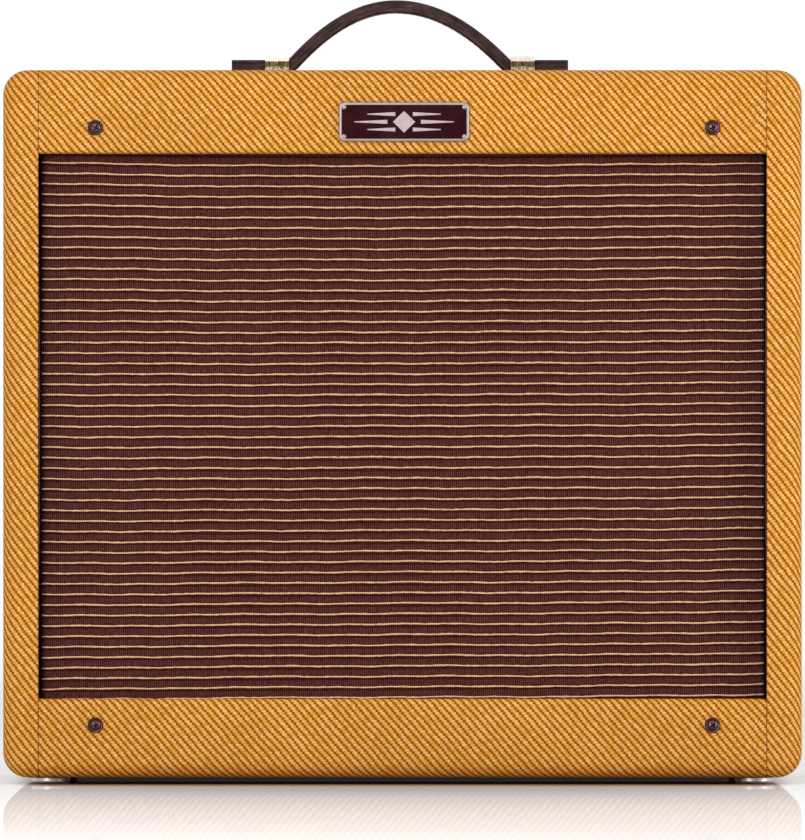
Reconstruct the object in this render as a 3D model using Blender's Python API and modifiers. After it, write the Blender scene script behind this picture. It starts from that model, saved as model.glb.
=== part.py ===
"""A small valve combo amplifier for electric guitar: a tweed-covered cabinet with one 12-inch speaker.

Metres, +Z up. The grille faces -Y, +X is to the right seen from the front, and the feet stand on z = 0.
The cabinet's own middle is the datum for every place below. The datum is an empty, moved back by half of
what the front screw heads stand out, so that the middle of the whole object is at y = 0.
"""

import math

import bmesh
import bpy
from mathutils import Matrix, Vector

GAP = 0.0003  # between pieces that touch

# Cabinet
WIDTH = 0.4572
DEPTH = 0.2332
HEIGHT = 0.405
FOOT_HEIGHT = 0.004
SIDE_THICKNESS = 0.0203
BOARD = 0.019
RAIL_THICKNESS = 0.012
TOP_RAIL_HEIGHT = 0.0479
BOTTOM_RAIL_HEIGHT = 0.0451
CORNER_ROUND = 0.014
RIM_ROUND = 0.0095
INNER_ROUND = 0.003
CLOTH_THICKNESS = 0.0012
BAFFLE_THICKNESS = 0.013
BAFFLE_MARGIN = 0.0012
PANEL_THICKNESS = 0.0063
UPPER_PANEL_BOTTOM = 0.292
LOWER_PANEL_TOP = 0.140
BATTEN = (0.0235, 0.012)  # across the width, and front to back
RECESS_HALF_WIDTH = 0.165
RECESS_FRONT = 0.042
TOP_BOARD_REAR = 0.110

FRONT = -DEPTH / 2
REAR = DEPTH / 2
BASE = FOOT_HEIGHT
TOP = BASE + HEIGHT
SIDE_X = WIDTH / 2 - SIDE_THICKNESS
BOARD_X = SIDE_X - GAP
RAIL_BACK = FRONT + RAIL_THICKNESS
CLOTH_FRONT = RAIL_BACK + GAP
CLOTH_BACK = CLOTH_FRONT + CLOTH_THICKNESS
BAFFLE_FRONT = CLOTH_BACK + GAP
BAFFLE_BACK = BAFFLE_FRONT + BAFFLE_THICKNESS
FLOOR_TOP = BASE + BOARD
CEILING = TOP - BOARD
PANEL_FRONT = REAR - PANEL_THICKNESS

# Hardware
FITTINGS_X = 0.0009  # the nameplate and the screws round it sit this far right of the middle
SCREW_PROUD = 0.003
SCREW_HEAD_RADIUS = 0.00305
SCREW_SHANK_RADIUS = 0.0019
SCREW_HOLE_RADIUS = 0.0022
SCREW_LENGTH = 0.011
SCREW_X = 0.1765
SCREW_HEIGHTS = {"top": 0.3759, "bottom": 0.0342}
FOOT_PLACE = (0.202, 0.0816)
FOOT_RADIUS = 0.011
FOOT_FLAT_RADIUS = 0.0065
NAMEPLATE_SIZE = (0.0746, 0.0225, 0.002)
NAMEPLATE_Z = 0.3792
NAMEPLATE_CORNER = 0.003

# Handle
HANDLE_X = -0.0015
HANDLE_Y = -0.0366
STRAP_THICKNESS = 0.0070
STRAP_WIDTH = 0.026
STRAP_HALF_LENGTH = 0.097
STRAP_RISE = 0.0383
STRAP_PEAK_X = -0.0023
STRAP_BENDS = (9.4, 8.3)  # curvature term of the arch's left and right halves, per metre
CLAMP_X = 0.0708
CLAMP_WIDTH = 0.0137
CLAMP_METAL = 0.0015
CLAMP_FLANGE = 0.010

# Speaker, whose axis runs front to back
SPEAKER_Z = (BASE + TOP) / 2
BAFFLE_HOLE_RADIUS = 0.140
FLANGE_FRONT = BAFFLE_BACK + GAP
SHEET = 0.0015
BASKET_RIM_RADIUS = 0.1525
BASKET_BOWL_RADIUS = 0.1405
BASKET_WAIST_RADIUS = 0.0715
BASKET_BORE_RADIUS = 0.0225
BASKET_SHOULDER_Y = -0.0315
BASKET_BACK_Y = -0.0190
WINDOW_COUNT = 8
WINDOW_OUTLINE = ((0.080, -0.019), (0.134, -0.038), (0.134, 0.038), (0.080, 0.019))
WINDOW_FRONT_Y = -0.080
WINDOW_REAR_Y = -0.0250
CONE_RADIUS = 0.128
CONE_NECK_RADIUS = 0.0205
CONE_FRONT_Y = -0.0865
CONE_NECK_Y = -0.0385
COIL_RADIUS = 0.0195
COIL_REAR_Y = -0.0080
POLE_RADIUS = 0.0178
MAGNET_RADIUS = 0.067
TERMINAL_ANGLE = math.radians(112.5)
TERMINAL_RADIUS = 0.100

# Chassis and the control panel that its top makes
CHASSIS_X = 0.183
CHASSIS_FRONT = 0.030
CHASSIS_REAR = 0.108
CHASSIS_BOTTOM = 0.328
CHASSIS_TOP = CEILING - GAP
CONTROL_Y = 0.077
KNOB_X = {"volume": 0.118, "treble": 0.066, "bass": 0.034, "middle": 0.002, "master": -0.030, "reverb": -0.062}
JACK_X = 0.148
BUTTON_X = 0.092
JEWEL_X = -0.092
FUSE_X = -0.117
TOGGLE_X = -0.143
BOARD_Z = 0.349
BOARD_SHEET = 0.0016
POT_TOP = 0.378
POT_RADIUS = 0.0085
CAPACITOR_X = (-0.120, -0.095, -0.070, -0.045)
KNOB_BOTTOM = CHASSIS_TOP + 0.0035
KNOB_TOP = TOP - 0.0013
SHAFT_RADIUS = 0.003
SHAFT_HOLE_RADIUS = 0.0036
POINTER_RADIUS = 0.0155
TOGGLE_PIVOT_Z = 0.3935
TOGGLE_LEAN = math.radians(12)

# Valves
VALVE_Y = 0.075
VALVE_TOP = 0.3227
SOCKET_RADIUS = 0.0105
SOCKET_BOARD_Z = 0.340
POWER_VALVES = {"power_tube_1": 0.006, "power_tube_2": 0.042}
PREAMP_VALVES = {"preamp_tube_1": 0.078, "preamp_tube_2": 0.112, "preamp_tube_3": 0.146}
POWER_VALVE = (0.0104, 0.251)  # bulb radius, tip height
PREAMP_VALVE = (0.0100, 0.274)

INLET_X = -0.166
INLET_Y = 0.068
TANK_LOW = (-0.1175, -0.005, FLOOR_TOP + 0.0005)
TANK_HIGH = (0.1175, 0.106, 0.0575)
LEAD_RADIUS = 0.0025
LEAD_HOLE = (-0.012, 0.044)

# Base colour, roughness and metallic value of each finish
FINISHES = {
    "tweed": ((0.65, 0.29, 0.06), 0.85, 0.0),
    "grille": ((0.12, 0.035, 0.025), 0.9, 0.0),
    "plywood": ((0.52, 0.36, 0.20), 0.7, 0.0),
    "leather": ((0.045, 0.022, 0.015), 0.5, 0.0),
    "nickel": ((0.72, 0.69, 0.64), 0.22, 1.0),
    "chrome": ((0.80, 0.80, 0.80), 0.10, 1.0),
    "bronze": ((0.10, 0.045, 0.03), 0.3, 1.0),
    "zinc_steel": ((0.52, 0.51, 0.48), 0.4, 1.0),
    "black_plastic": ((0.012, 0.012, 0.012), 0.3, 0.0),
    "black_metal": ((0.03, 0.03, 0.032), 0.45, 0.6),
    "paper": ((0.055, 0.05, 0.045), 0.9, 0.0),
    "ferrite": ((0.05, 0.05, 0.05), 0.75, 0.0),
    "circuit_board": ((0.05, 0.16, 0.07), 0.5, 0.0),
    "valve_glass": ((0.35, 0.36, 0.36), 0.05, 0.0),
    "jewel_red": ((0.55, 0.01, 0.01), 0.08, 0.0),
    "transformer": ((0.06, 0.06, 0.065), 0.5, 0.4),
}

FACING_FRONT = (math.radians(90), 0, 0)  # local Z to -Y, and local Y up
ALONG_X = (math.radians(90), 0, math.radians(90))  # local Z to +X, local X to +Y, local Y up


def clear_scene():
    for obj in list(bpy.data.objects):
        bpy.data.objects.remove(obj)


def new_collection(name):
    collection = bpy.data.collections.new(name)
    bpy.context.scene.collection.children.link(collection)
    return collection


def finish_material(finish):
    if finish in bpy.data.materials:
        return bpy.data.materials[finish]
    colour, roughness, metallic = FINISHES[finish]
    material = bpy.data.materials.new(finish)
    material.use_nodes = True
    shader = material.node_tree.nodes["Principled BSDF"]
    shader.inputs["Base Color"].default_value = (*colour, 1)
    shader.inputs["Roughness"].default_value = roughness
    shader.inputs["Metallic"].default_value = metallic
    return material


def place(name, mesh, collection, location, rotation):
    obj = bpy.data.objects.new(name, mesh)
    collection.objects.link(obj)
    obj.parent = DATUM
    obj.location = location
    obj.rotation_euler = rotation
    return obj


def part(name, mesh, finish, location=(0, 0, 0), rotation=(0, 0, 0)):
    """A sub-part of the amplifier. Meshes may be shared, so the finish goes on the mesh only once."""
    if not mesh.materials:
        mesh.materials.append(finish_material(finish))
    return place(name, mesh, PARTS, location, rotation)


def helper(name, mesh, location=(0, 0, 0), rotation=(0, 0, 0)):
    """A shape that only cuts or joins another one."""
    obj = place(name, mesh, HELPERS, location, rotation)
    obj.hide_render = True
    obj.display_type = "WIRE"
    return obj


def boolean(obj, operation, other):
    modifier = obj.modifiers.new(other.name, "BOOLEAN")
    modifier.operation = operation
    modifier.object = other


def cut(obj, *cutters):
    for cutter in cutters:
        boolean(obj, "DIFFERENCE", cutter)


def join(obj, *others):
    for other in others:
        boolean(obj, "UNION", other)


def mesh_of(name, bm):
    mesh = bpy.data.meshes.new(name)
    bm.to_mesh(mesh)
    bm.free()
    return mesh


def smooth(mesh, angle=30):
    mesh.shade_smooth()
    mesh.set_sharp_from_angle(angle=math.radians(angle))
    return mesh


def add_box(bm, low, high):
    size = Vector(high) - Vector(low)
    centre = (Vector(high) + Vector(low)) / 2
    bmesh.ops.create_cube(bm, size=1, matrix=Matrix.Translation(centre) @ Matrix.Diagonal((*size, 1)))


def add_cylinder(bm, radius, low, high, x=0, y=0, segments=12, top_radius=None):
    """An upright cylinder or cone between two heights."""
    top = radius if top_radius is None else top_radius
    middle = Matrix.Translation((x, y, (low + high) / 2))
    bmesh.ops.create_cone(
        bm, cap_ends=True, segments=segments, radius1=radius, radius2=top, depth=high - low, matrix=middle
    )


def boxes(name, *corners):
    """One mesh of separate boxes, each given by its lowest and highest corner."""
    bm = bmesh.new()
    for low, high in corners:
        add_box(bm, low, high)
    return mesh_of(name, bm)


def round_edges(bm, wanted, radius, segments):
    edges = [edge for edge in bm.edges if wanted(*(vertex.co for vertex in edge.verts))]
    bmesh.ops.bevel(bm, geom=edges, offset=radius, segments=segments, profile=0.5, affect="EDGES")


def close(a, b):
    return abs(a - b) < 1e-5


def plate(name, outline, thickness):
    """A flat outline in XY, thickened about z = 0."""
    curve = bpy.data.curves.new(name, "CURVE")
    curve.dimensions = "2D"
    curve.fill_mode = "BOTH"
    curve.extrude = thickness / 2
    spline = curve.splines.new("POLY")
    spline.points.add(len(outline) - 1)
    for point, (x, y) in zip(spline.points, outline):
        point.co = (x, y, 0, 1)
    spline.use_cyclic_u = True
    flat = place(name, curve, HELPERS, (0, 0, 0), (0, 0, 0))
    graph = bpy.context.evaluated_depsgraph_get()
    bm = bmesh.new()
    bm.from_mesh(bpy.data.meshes.new_from_object(flat.evaluated_get(graph)))
    bpy.data.objects.remove(flat)
    bmesh.ops.remove_doubles(bm, verts=bm.verts, dist=1e-5)
    bmesh.ops.recalc_face_normals(bm, faces=bm.faces)
    return mesh_of(name, bm)


def arc(centre_x, centre_y, radius, start, end, steps):
    """Points on an arc, its angles in degrees."""
    angles = [math.radians(start + (end - start) * step / steps) for step in range(steps + 1)]
    return [(centre_x + radius * math.cos(a), centre_y + radius * math.sin(a)) for a in angles]


def rounded_rectangle(width, height, radius, steps=3):
    x = width / 2 - radius
    y = height / 2 - radius
    corners = ((x, y, 0), (-x, y, 90), (-x, -y, 180), (x, -y, 270))
    return [point for cx, cy, start in corners for point in arc(cx, cy, radius, start, start + 90, steps)]


def profile_mesh(name, profile):
    """The profile of a turned shape: (radius, height) down the outer side. One that leaves the axis is a ring."""
    bm = bmesh.new()
    vertices = [bm.verts.new((radius, 0, height)) for radius, height in profile]
    for first, second in zip(vertices, vertices[1:]):
        bm.edges.new((first, second))
    if profile[0][0] > 0:
        bm.edges.new((vertices[-1], vertices[0]))
    return mesh_of(name, bm)


def turn(obj, steps):
    screw = obj.modifiers.new("turned", "SCREW")
    screw.steps = steps
    screw.render_steps = steps
    screw.use_merge_vertices = True
    screw.merge_threshold = 1e-5
    screw.use_smooth_shade = True
    return obj


def turned(name, profile, finish, steps, location=(0, 0, 0), rotation=(0, 0, 0)):
    return turn(part(name, profile_mesh(name, profile), finish, location, rotation), steps)


def ring(outer, inner, start, end):
    """The profile of a plain ring with a square section."""
    return [(outer, start), (outer, end), (inner, end), (inner, start)]


# Cabinet


def make_side_board(name, side):
    inner = side * SIDE_X
    outer = side * WIDTH / 2
    bm = bmesh.new()
    add_box(bm, (min(inner, outer), FRONT, BASE), (max(inner, outer), REAR, TOP))
    round_edges(bm, lambda a, b: close(a.x, outer) and close(b.x, outer) and close(a.z, b.z), CORNER_ROUND, 4)

    def on_rim(a, b):
        same_end = close(a.y, b.y) and close(abs(a.y), DEPTH / 2)
        return same_end and not (close(a.x, inner) and close(b.x, inner))

    round_edges(bm, on_rim, RIM_ROUND, 3)
    part(name, smooth(mesh_of(name, bm)), "tweed")


def make_rail(name, low, high, outer_z, inner_z):
    """A board across the front, rounded more at the cabinet's outside than at the opening."""
    bm = bmesh.new()
    add_box(bm, (-BOARD_X, FRONT, low), (BOARD_X, RAIL_BACK, high))
    for z, radius, segments in ((outer_z, RIM_ROUND, 3), (inner_z, INNER_ROUND, 2)):

        def on_edge(a, b, z=z):
            return all(close(v.y, FRONT) and close(v.z, z) for v in (a, b))

        round_edges(bm, on_edge, radius, segments)
    rail = part(name, smooth(mesh_of(name, bm)), "tweed")
    cut(rail, HOLES["front_screws"])


def make_top_board():
    front = CLOTH_FRONT
    outline = [
        (-BOARD_X, front),
        (BOARD_X, front),
        (BOARD_X, TOP_BOARD_REAR),
        (RECESS_HALF_WIDTH, TOP_BOARD_REAR),
        (RECESS_HALF_WIDTH, RECESS_FRONT),
        (-RECESS_HALF_WIDTH, RECESS_FRONT),
        (-RECESS_HALF_WIDTH, TOP_BOARD_REAR),
        (-BOARD_X, TOP_BOARD_REAR),
    ]
    mesh = plate("top_board", outline, BOARD)
    part("top_board", mesh, "tweed", (0, 0, TOP - BOARD / 2))


def make_bottom_board():
    bm = bmesh.new()
    add_box(bm, (-BOARD_X, CLOTH_FRONT, BASE), (BOARD_X, REAR, FLOOR_TOP))
    round_edges(bm, lambda a, b: all(close(v.y, REAR) and close(v.z, BASE) for v in (a, b)), RIM_ROUND, 3)
    part("bottom_board", smooth(mesh_of("bottom_board", bm)), "tweed")


def make_baffle_and_cloth():
    low = FLOOR_TOP + BAFFLE_MARGIN
    high = CEILING - BAFFLE_MARGIN
    x = BOARD_X - GAP
    baffle = part("baffle_board", boxes("baffle", ((-x, BAFFLE_FRONT, low), (x, BAFFLE_BACK, high))), "plywood")
    bm = bmesh.new()
    add_cylinder(bm, BAFFLE_HOLE_RADIUS, -0.02, 0.02, segments=48)
    middle = (BAFFLE_FRONT + BAFFLE_BACK) / 2
    cut(baffle, helper("baffle_hole", mesh_of("baffle_hole", bm), (0, middle, SPEAKER_Z), FACING_FRONT))
    part("grille_cloth", boxes("cloth", ((-x, CLOTH_FRONT, low), (x, CLOTH_BACK, high))), "grille")


def make_back_panel(name, low, high):
    bm = bmesh.new()
    add_box(bm, (-BOARD_X, PANEL_FRONT, low), (BOARD_X, REAR, high))
    round_edges(bm, lambda a, b: close(a.y, REAR) and close(b.y, REAR) and close(a.z, b.z), INNER_ROUND, 2)
    part(name, smooth(mesh_of(name, bm)), "tweed")


def make_batten(name, side):
    across, deep = BATTEN
    inner = side * (BOARD_X - across)
    outer = side * BOARD_X
    low = (min(inner, outer), PANEL_FRONT - GAP - deep, FLOOR_TOP + GAP)
    high = (max(inner, outer), PANEL_FRONT - GAP, CEILING - GAP)
    part(name, boxes(name, (low, high)), "plywood")


def make_cabinet():
    make_side_board("side_board_left", -1)
    make_side_board("side_board_right", 1)
    make_rail("front_top_rail", TOP - TOP_RAIL_HEIGHT, TOP, TOP, TOP - TOP_RAIL_HEIGHT)
    make_rail("front_bottom_rail", BASE, BASE + BOTTOM_RAIL_HEIGHT, BASE, BASE + BOTTOM_RAIL_HEIGHT)
    make_top_board()
    make_bottom_board()
    make_baffle_and_cloth()
    make_back_panel("upper_back_panel", UPPER_PANEL_BOTTOM, TOP)
    make_back_panel("lower_back_panel", FLOOR_TOP + GAP, LOWER_PANEL_TOP)
    make_batten("batten_left", -1)
    make_batten("batten_right", 1)


# Outside hardware


def front_screw_places():
    for height_name, z in SCREW_HEIGHTS.items():
        for side_name, side in (("left", -1), ("right", 1)):
            yield f"front_screw_{height_name}_{side_name}", (side * SCREW_X + FITTINGS_X, FRONT, z)


def make_front_screw_holes():
    bm = bmesh.new()
    for _, (x, y, z) in front_screw_places():
        add_cylinder(bm, SCREW_HOLE_RADIUS, -0.02, 0.02, x, z, 8)
    return helper("front_screw_holes", mesh_of("front_screw_holes", bm), (0, FRONT, 0), FACING_FRONT)


def make_front_screws():
    head = SCREW_HEAD_RADIUS
    profile = [
        (0, SCREW_PROUD),
        (head * 0.55, SCREW_PROUD - 0.0004),
        (head, SCREW_PROUD - 0.0014),
        (head, GAP),
        (SCREW_SHANK_RADIUS, GAP),
        (SCREW_SHANK_RADIUS, GAP - SCREW_LENGTH),
        (0, GAP - SCREW_LENGTH),
    ]
    mesh = profile_mesh("front_screw", profile)
    for name, location in front_screw_places():
        turn(part(name, mesh, "bronze", location, FACING_FRONT), 8)


def make_feet():
    profile = [
        (0, BASE - GAP),
        (FOOT_RADIUS, BASE - GAP),
        (FOOT_RADIUS, 0.0028),
        (0.0095, 0.0012),
        (FOOT_FLAT_RADIUS, 0),
        (0, 0),
    ]
    mesh = profile_mesh("glide_foot", profile)
    x, y = FOOT_PLACE
    for depth_name, depth_side in (("front", -1), ("rear", 1)):
        for side_name, side in (("left", -1), ("right", 1)):
            turn(part(f"foot_{depth_name}_{side_name}", mesh, "nickel", (side * x, depth_side * y, 0)), 16)


def make_nameplate():
    width, height, thickness = NAMEPLATE_SIZE
    mesh = plate("nameplate", rounded_rectangle(width, height, NAMEPLATE_CORNER), thickness)
    part("nameplate", mesh, "nickel", (FITTINGS_X, FRONT - GAP - thickness / 2, NAMEPLATE_Z), FACING_FRONT)


def strap_height(x):
    """Height of the strap's middle above the cabinet: a parabola that runs out into the flat ends."""
    flat = GAP + STRAP_THICKNESS / 2
    bend = STRAP_BENDS[0] if x < STRAP_PEAK_X else STRAP_BENDS[1]
    arch = STRAP_RISE - bend * (x - STRAP_PEAK_X) ** 2
    softness = 0.0006
    return flat + 0.5 * ((arch - flat) + math.hypot(arch - flat, softness))


def make_strap():
    steps = 28
    bend_x = CLAMP_X - CLAMP_WIDTH / 2 - GAP
    arch = [bend_x * (2 * step / steps - 1) for step in range(steps + 1)]
    stations = [-STRAP_HALF_LENGTH, *arch, STRAP_HALF_LENGTH]
    upper = []
    lower = []
    for x in stations:
        slope = (strap_height(x + 1e-4) - strap_height(x - 1e-4)) / 2e-4
        normal = Vector((-slope, 1)).normalized() * STRAP_THICKNESS / 2
        middle = Vector((x, strap_height(x)))
        upper.append(tuple(middle + normal))
        lower.append(tuple(middle - normal))
    mesh = plate("handle_strap", lower + upper[::-1], STRAP_WIDTH)
    part("handle_strap", smooth(mesh), "leather", (HANDLE_X, HANDLE_Y, TOP), FACING_FRONT)


def make_clamps():
    inner = STRAP_WIDTH / 2 + GAP
    outer = inner + CLAMP_METAL
    under = GAP + STRAP_THICKNESS + GAP + 0.0002
    foot = outer + CLAMP_FLANGE
    half = [
        (foot, GAP),
        (foot, GAP + CLAMP_METAL),
        (outer, GAP + CLAMP_METAL),
        (outer, under + CLAMP_METAL),
    ]
    inside = [(-inner, GAP), (-inner, under), (inner, under), (inner, GAP)]
    outline = half + [(-x, z) for x, z in half[::-1]] + inside
    mesh = plate("handle_clamp", outline, CLAMP_WIDTH)
    for name, side in (("handle_clamp_left", -1), ("handle_clamp_right", 1)):
        part(name, mesh, "nickel", (side * CLAMP_X + HANDLE_X, HANDLE_Y, TOP), ALONG_X)


# Speaker. Its profiles give each point's y, front to back, which is -Z before the shape is turned to face front.


def speaker_part(name, profile, finish, steps):
    points = [(radius, -y) for radius, y in profile]
    return turned(name, points, finish, steps, (0, 0, SPEAKER_Z), FACING_FRONT)


def make_basket():
    bowl_corner_y = -0.072
    front = FLANGE_FRONT
    back = BASKET_BACK_Y
    shoulder = BASKET_SHOULDER_Y
    shoulder_radius = 0.079
    profile = [
        (BASKET_RIM_RADIUS, front),
        (BASKET_RIM_RADIUS, front + SHEET),
        (BASKET_BOWL_RADIUS + SHEET, front + SHEET),
        (BASKET_BOWL_RADIUS + SHEET, bowl_corner_y + 0.0008),
        (shoulder_radius, shoulder),
        (BASKET_WAIST_RADIUS, shoulder),
        (BASKET_WAIST_RADIUS, back),
        (BASKET_BORE_RADIUS, back),
        (BASKET_BORE_RADIUS, back - SHEET),
        (BASKET_WAIST_RADIUS - SHEET, back - SHEET),
        (BASKET_WAIST_RADIUS - SHEET, shoulder - SHEET),
        (shoulder_radius - 0.0006, shoulder - SHEET),
        (BASKET_BOWL_RADIUS, bowl_corner_y),
        (BASKET_BOWL_RADIUS, front),
    ]
    basket = speaker_part("speaker_basket", profile, "black_metal", 40)
    bm = bmesh.new()
    length = WINDOW_REAR_Y - WINDOW_FRONT_Y
    bm.from_mesh(plate("window", WINDOW_OUTLINE, length))
    first_window = bm.faces[:]
    for turn_number in range(1, WINDOW_COUNT):
        added = bmesh.ops.duplicate(bm, geom=first_window)["geom"]
        corners = [item for item in added if isinstance(item, bmesh.types.BMVert)]
        angle = turn_number * math.tau / WINDOW_COUNT
        bmesh.ops.rotate(bm, verts=corners, cent=(0, 0, 0), matrix=Matrix.Rotation(angle, 3, "Z"))
    middle = (WINDOW_REAR_Y + WINDOW_FRONT_Y) / 2
    windows = helper("basket_windows", mesh_of("basket_windows", bm), (0, middle, SPEAKER_Z), FACING_FRONT)
    x = TERMINAL_RADIUS * math.cos(TERMINAL_ANGLE)
    z = SPEAKER_Z + TERMINAL_RADIUS * math.sin(TERMINAL_ANGLE)
    block = boxes("terminals", ((x - 0.009, -0.047, z - 0.005), (x + 0.009, -0.038, z + 0.005)))
    cut(basket, windows)
    join(basket, helper("terminal_block", block))


def make_cone():
    thickness = 0.001
    cone = [
        (CONE_RADIUS, CONE_FRONT_Y),
        (CONE_RADIUS, CONE_FRONT_Y + thickness),
        (CONE_NECK_RADIUS + 0.0005, CONE_NECK_Y + thickness),
        (CONE_NECK_RADIUS, CONE_NECK_Y),
    ]
    speaker_part("speaker_cone", cone, "paper", 40)
    surround = [
        (0.1400, -0.0890),
        (0.1400, -0.0880),
        (0.1370, -0.0880),
        (0.1343, -0.0892),
        (0.1315, -0.0880),
        (0.1285, -0.0880),
        (0.1285, -0.0890),
        (0.1315, -0.0890),
        (0.1343, -0.0902),
        (0.1370, -0.0890),
    ]
    speaker_part("speaker_surround", surround, "paper", 40)
    cap = [(0, -0.0560), (0.0140, -0.0540), (0.0240, -0.0500), (0.0310, -0.0448)]
    cap += [(0.0300, -0.0440), (0.0230, -0.0490), (0.0135, -0.0530), (0, -0.0550)]
    speaker_part("speaker_dust_cap", cap, "paper", 24)
    coil = ring(COIL_RADIUS, COIL_RADIUS - 0.001, CONE_NECK_Y + 0.0013, COIL_REAR_Y)
    speaker_part("speaker_voice_coil", coil, "nickel", 24)
    spider_front = BASKET_SHOULDER_Y - SHEET - GAP - 0.0012
    speaker_part("speaker_spider", ring(0.076, 0.0201, spider_front, spider_front + 0.0012), "paper", 32)


def make_motor():
    front = BASKET_BACK_Y + GAP
    magnet_front = front + 0.008 + GAP
    plate_front = magnet_front + 0.020 + GAP
    plate_rear = plate_front + 0.008
    top_plate = ring(0.060, COIL_RADIUS + 0.001, front, front + 0.008)
    speaker_part("speaker_top_plate", top_plate, "zinc_steel", 32)
    magnet = ring(MAGNET_RADIUS, 0.0225, magnet_front, magnet_front + 0.020)
    speaker_part("speaker_magnet", magnet, "ferrite", 32)
    back_plate = [
        (0, front),
        (POLE_RADIUS, front),
        (POLE_RADIUS, plate_front),
        (0.058, plate_front),
        (0.058, plate_rear - 0.002),
        (0.056, plate_rear),
        (0, plate_rear),
    ]
    speaker_part("speaker_back_plate", back_plate, "zinc_steel", 32)


# Chassis and controls


def make_panel_holes():
    """Every hole through the chassis, from above and from below, as one cutter."""
    bm = bmesh.new()
    above = (CHASSIS_TOP - 0.006, CHASSIS_TOP + 0.006)
    for x in (*KNOB_X.values(), BUTTON_X):
        add_cylinder(bm, SHAFT_HOLE_RADIUS, *above, x, CONTROL_Y, 12)
    for x, radius in ((JACK_X, 0.0050), (JEWEL_X, 0.0078), (FUSE_X, 0.0063), (TOGGLE_X, 0.0060)):
        add_cylinder(bm, radius, *above, x, CONTROL_Y, 12)
    below = (CHASSIS_BOTTOM - 0.006, CHASSIS_BOTTOM + 0.006)
    for x in (*POWER_VALVES.values(), *PREAMP_VALVES.values()):
        add_cylinder(bm, SOCKET_RADIUS + 0.0005, *below, x, VALVE_Y, 12)
    add_cylinder(bm, 0.0040, *below, *LEAD_HOLE, 10)
    opening = (0.0138, 0.0103)
    low = (INLET_X - opening[0], INLET_Y - opening[1], below[0])
    high = (INLET_X + opening[0], INLET_Y + opening[1], below[1])
    add_box(bm, low, high)
    return helper("chassis_holes", mesh_of("chassis_holes", bm))


def make_chassis():
    low = (-CHASSIS_X, CHASSIS_FRONT, CHASSIS_BOTTOM)
    high = (CHASSIS_X, CHASSIS_REAR, CHASSIS_TOP)
    chassis = part("chassis", boxes("chassis", (low, high)), "chrome")
    inside_low = (-CHASSIS_X + SHEET, CHASSIS_FRONT + SHEET, CHASSIS_BOTTOM + SHEET)
    inside_high = (CHASSIS_X - SHEET, CHASSIS_REAR + 0.01, CHASSIS_TOP - SHEET)
    cut(chassis, helper("chassis_inside", boxes("chassis_inside", (inside_low, inside_high))), make_panel_holes())


def make_circuit_board():
    """The main board, with the potentiometers, the push switch and the filter capacitors soldered to it."""
    top = BOARD_Z + BOARD_SHEET
    low = (-0.135, 0.036, BOARD_Z)
    board = part("circuit_board", boxes("circuit_board", (low, (0.160, 0.100, top))), "circuit_board")
    bm = bmesh.new()
    for x in KNOB_X.values():
        add_cylinder(bm, POT_RADIUS, top - 0.0005, POT_TOP, x, CONTROL_Y, 12)
    for x in CAPACITOR_X:
        add_cylinder(bm, 0.0065, top - 0.0005, top + 0.027, x, 0.050, 12)
    add_box(bm, (BUTTON_X - 0.005, CONTROL_Y - 0.005, top - 0.0005), (BUTTON_X + 0.005, CONTROL_Y + 0.005, POT_TOP))
    join(board, helper("board_parts", mesh_of("board_parts", bm)))


def make_knobs():
    shaft_bottom = POT_TOP + GAP
    profile = [
        (0, KNOB_TOP - 0.004),
        (0.0070, KNOB_TOP - 0.004),
        (0.0095, KNOB_BOTTOM + 0.0035),
        (0.0100, KNOB_BOTTOM),
        (SHAFT_RADIUS, KNOB_BOTTOM),
        (SHAFT_RADIUS, shaft_bottom),
        (0, shaft_bottom),
    ]
    body = profile_mesh("knob", profile)
    half = [
        (0.0010, -POINTER_RADIUS),
        (0.0034, -0.0075),
        (0.0046, 0.0),
        (0.0036, 0.0065),
        (0.0016, 0.0108),
    ]
    outline = half + [(-x, y) for x, y in half[::-1]]
    pointer_low = KNOB_BOTTOM + 0.001
    pointer = plate("pointer", outline, KNOB_TOP - pointer_low)
    for name, x in KNOB_X.items():
        knob = turn(part(f"knob_{name}", body, "black_plastic", (x, CONTROL_Y, 0)), 16)
        join(knob, helper(f"pointer_{name}", pointer, (x, CONTROL_Y, (KNOB_TOP + pointer_low) / 2)))


def make_input_jack():
    """A threaded tube with its nut above the panel, on a square housing below."""
    nut_top = CHASSIS_TOP + 0.004
    profile = [
        (0.0047, nut_top + 0.001),
        (0.0047, nut_top),
        (0.0070, nut_top),
        (0.0070, CHASSIS_TOP + GAP),
        (0.0047, CHASSIS_TOP + GAP),
        (0.0047, 0.3600),
        (0.0033, 0.3600),
        (0.0033, nut_top + 0.001),
    ]
    jack = turned("input_jack", profile, "nickel", 12, (JACK_X, CONTROL_Y, 0))
    bm = bmesh.new()
    low = (JACK_X - 0.008, CONTROL_Y - 0.010, BOARD_Z + BOARD_SHEET + GAP)
    high = (JACK_X + 0.008, CONTROL_Y + 0.010, CHASSIS_TOP - SHEET - GAP)
    add_box(bm, low, high)
    housing = helper("jack_housing", mesh_of("jack_housing", bm))
    bm = bmesh.new()
    add_cylinder(bm, 0.0036, 0.3580, CHASSIS_TOP + 0.02, JACK_X, CONTROL_Y, 12)
    cut(housing, helper("jack_bore", mesh_of("jack_bore", bm)))
    join(jack, housing)


def make_push_button():
    profile = [
        (0, 0.3975),
        (0.0028, 0.3975),
        (0.0033, 0.3970),
        (0.0033, 0.3815),
        (0, 0.3815),
    ]
    turned("fat_switch_button", profile, "black_plastic", 12, (BUTTON_X, CONTROL_Y, 0))


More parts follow.
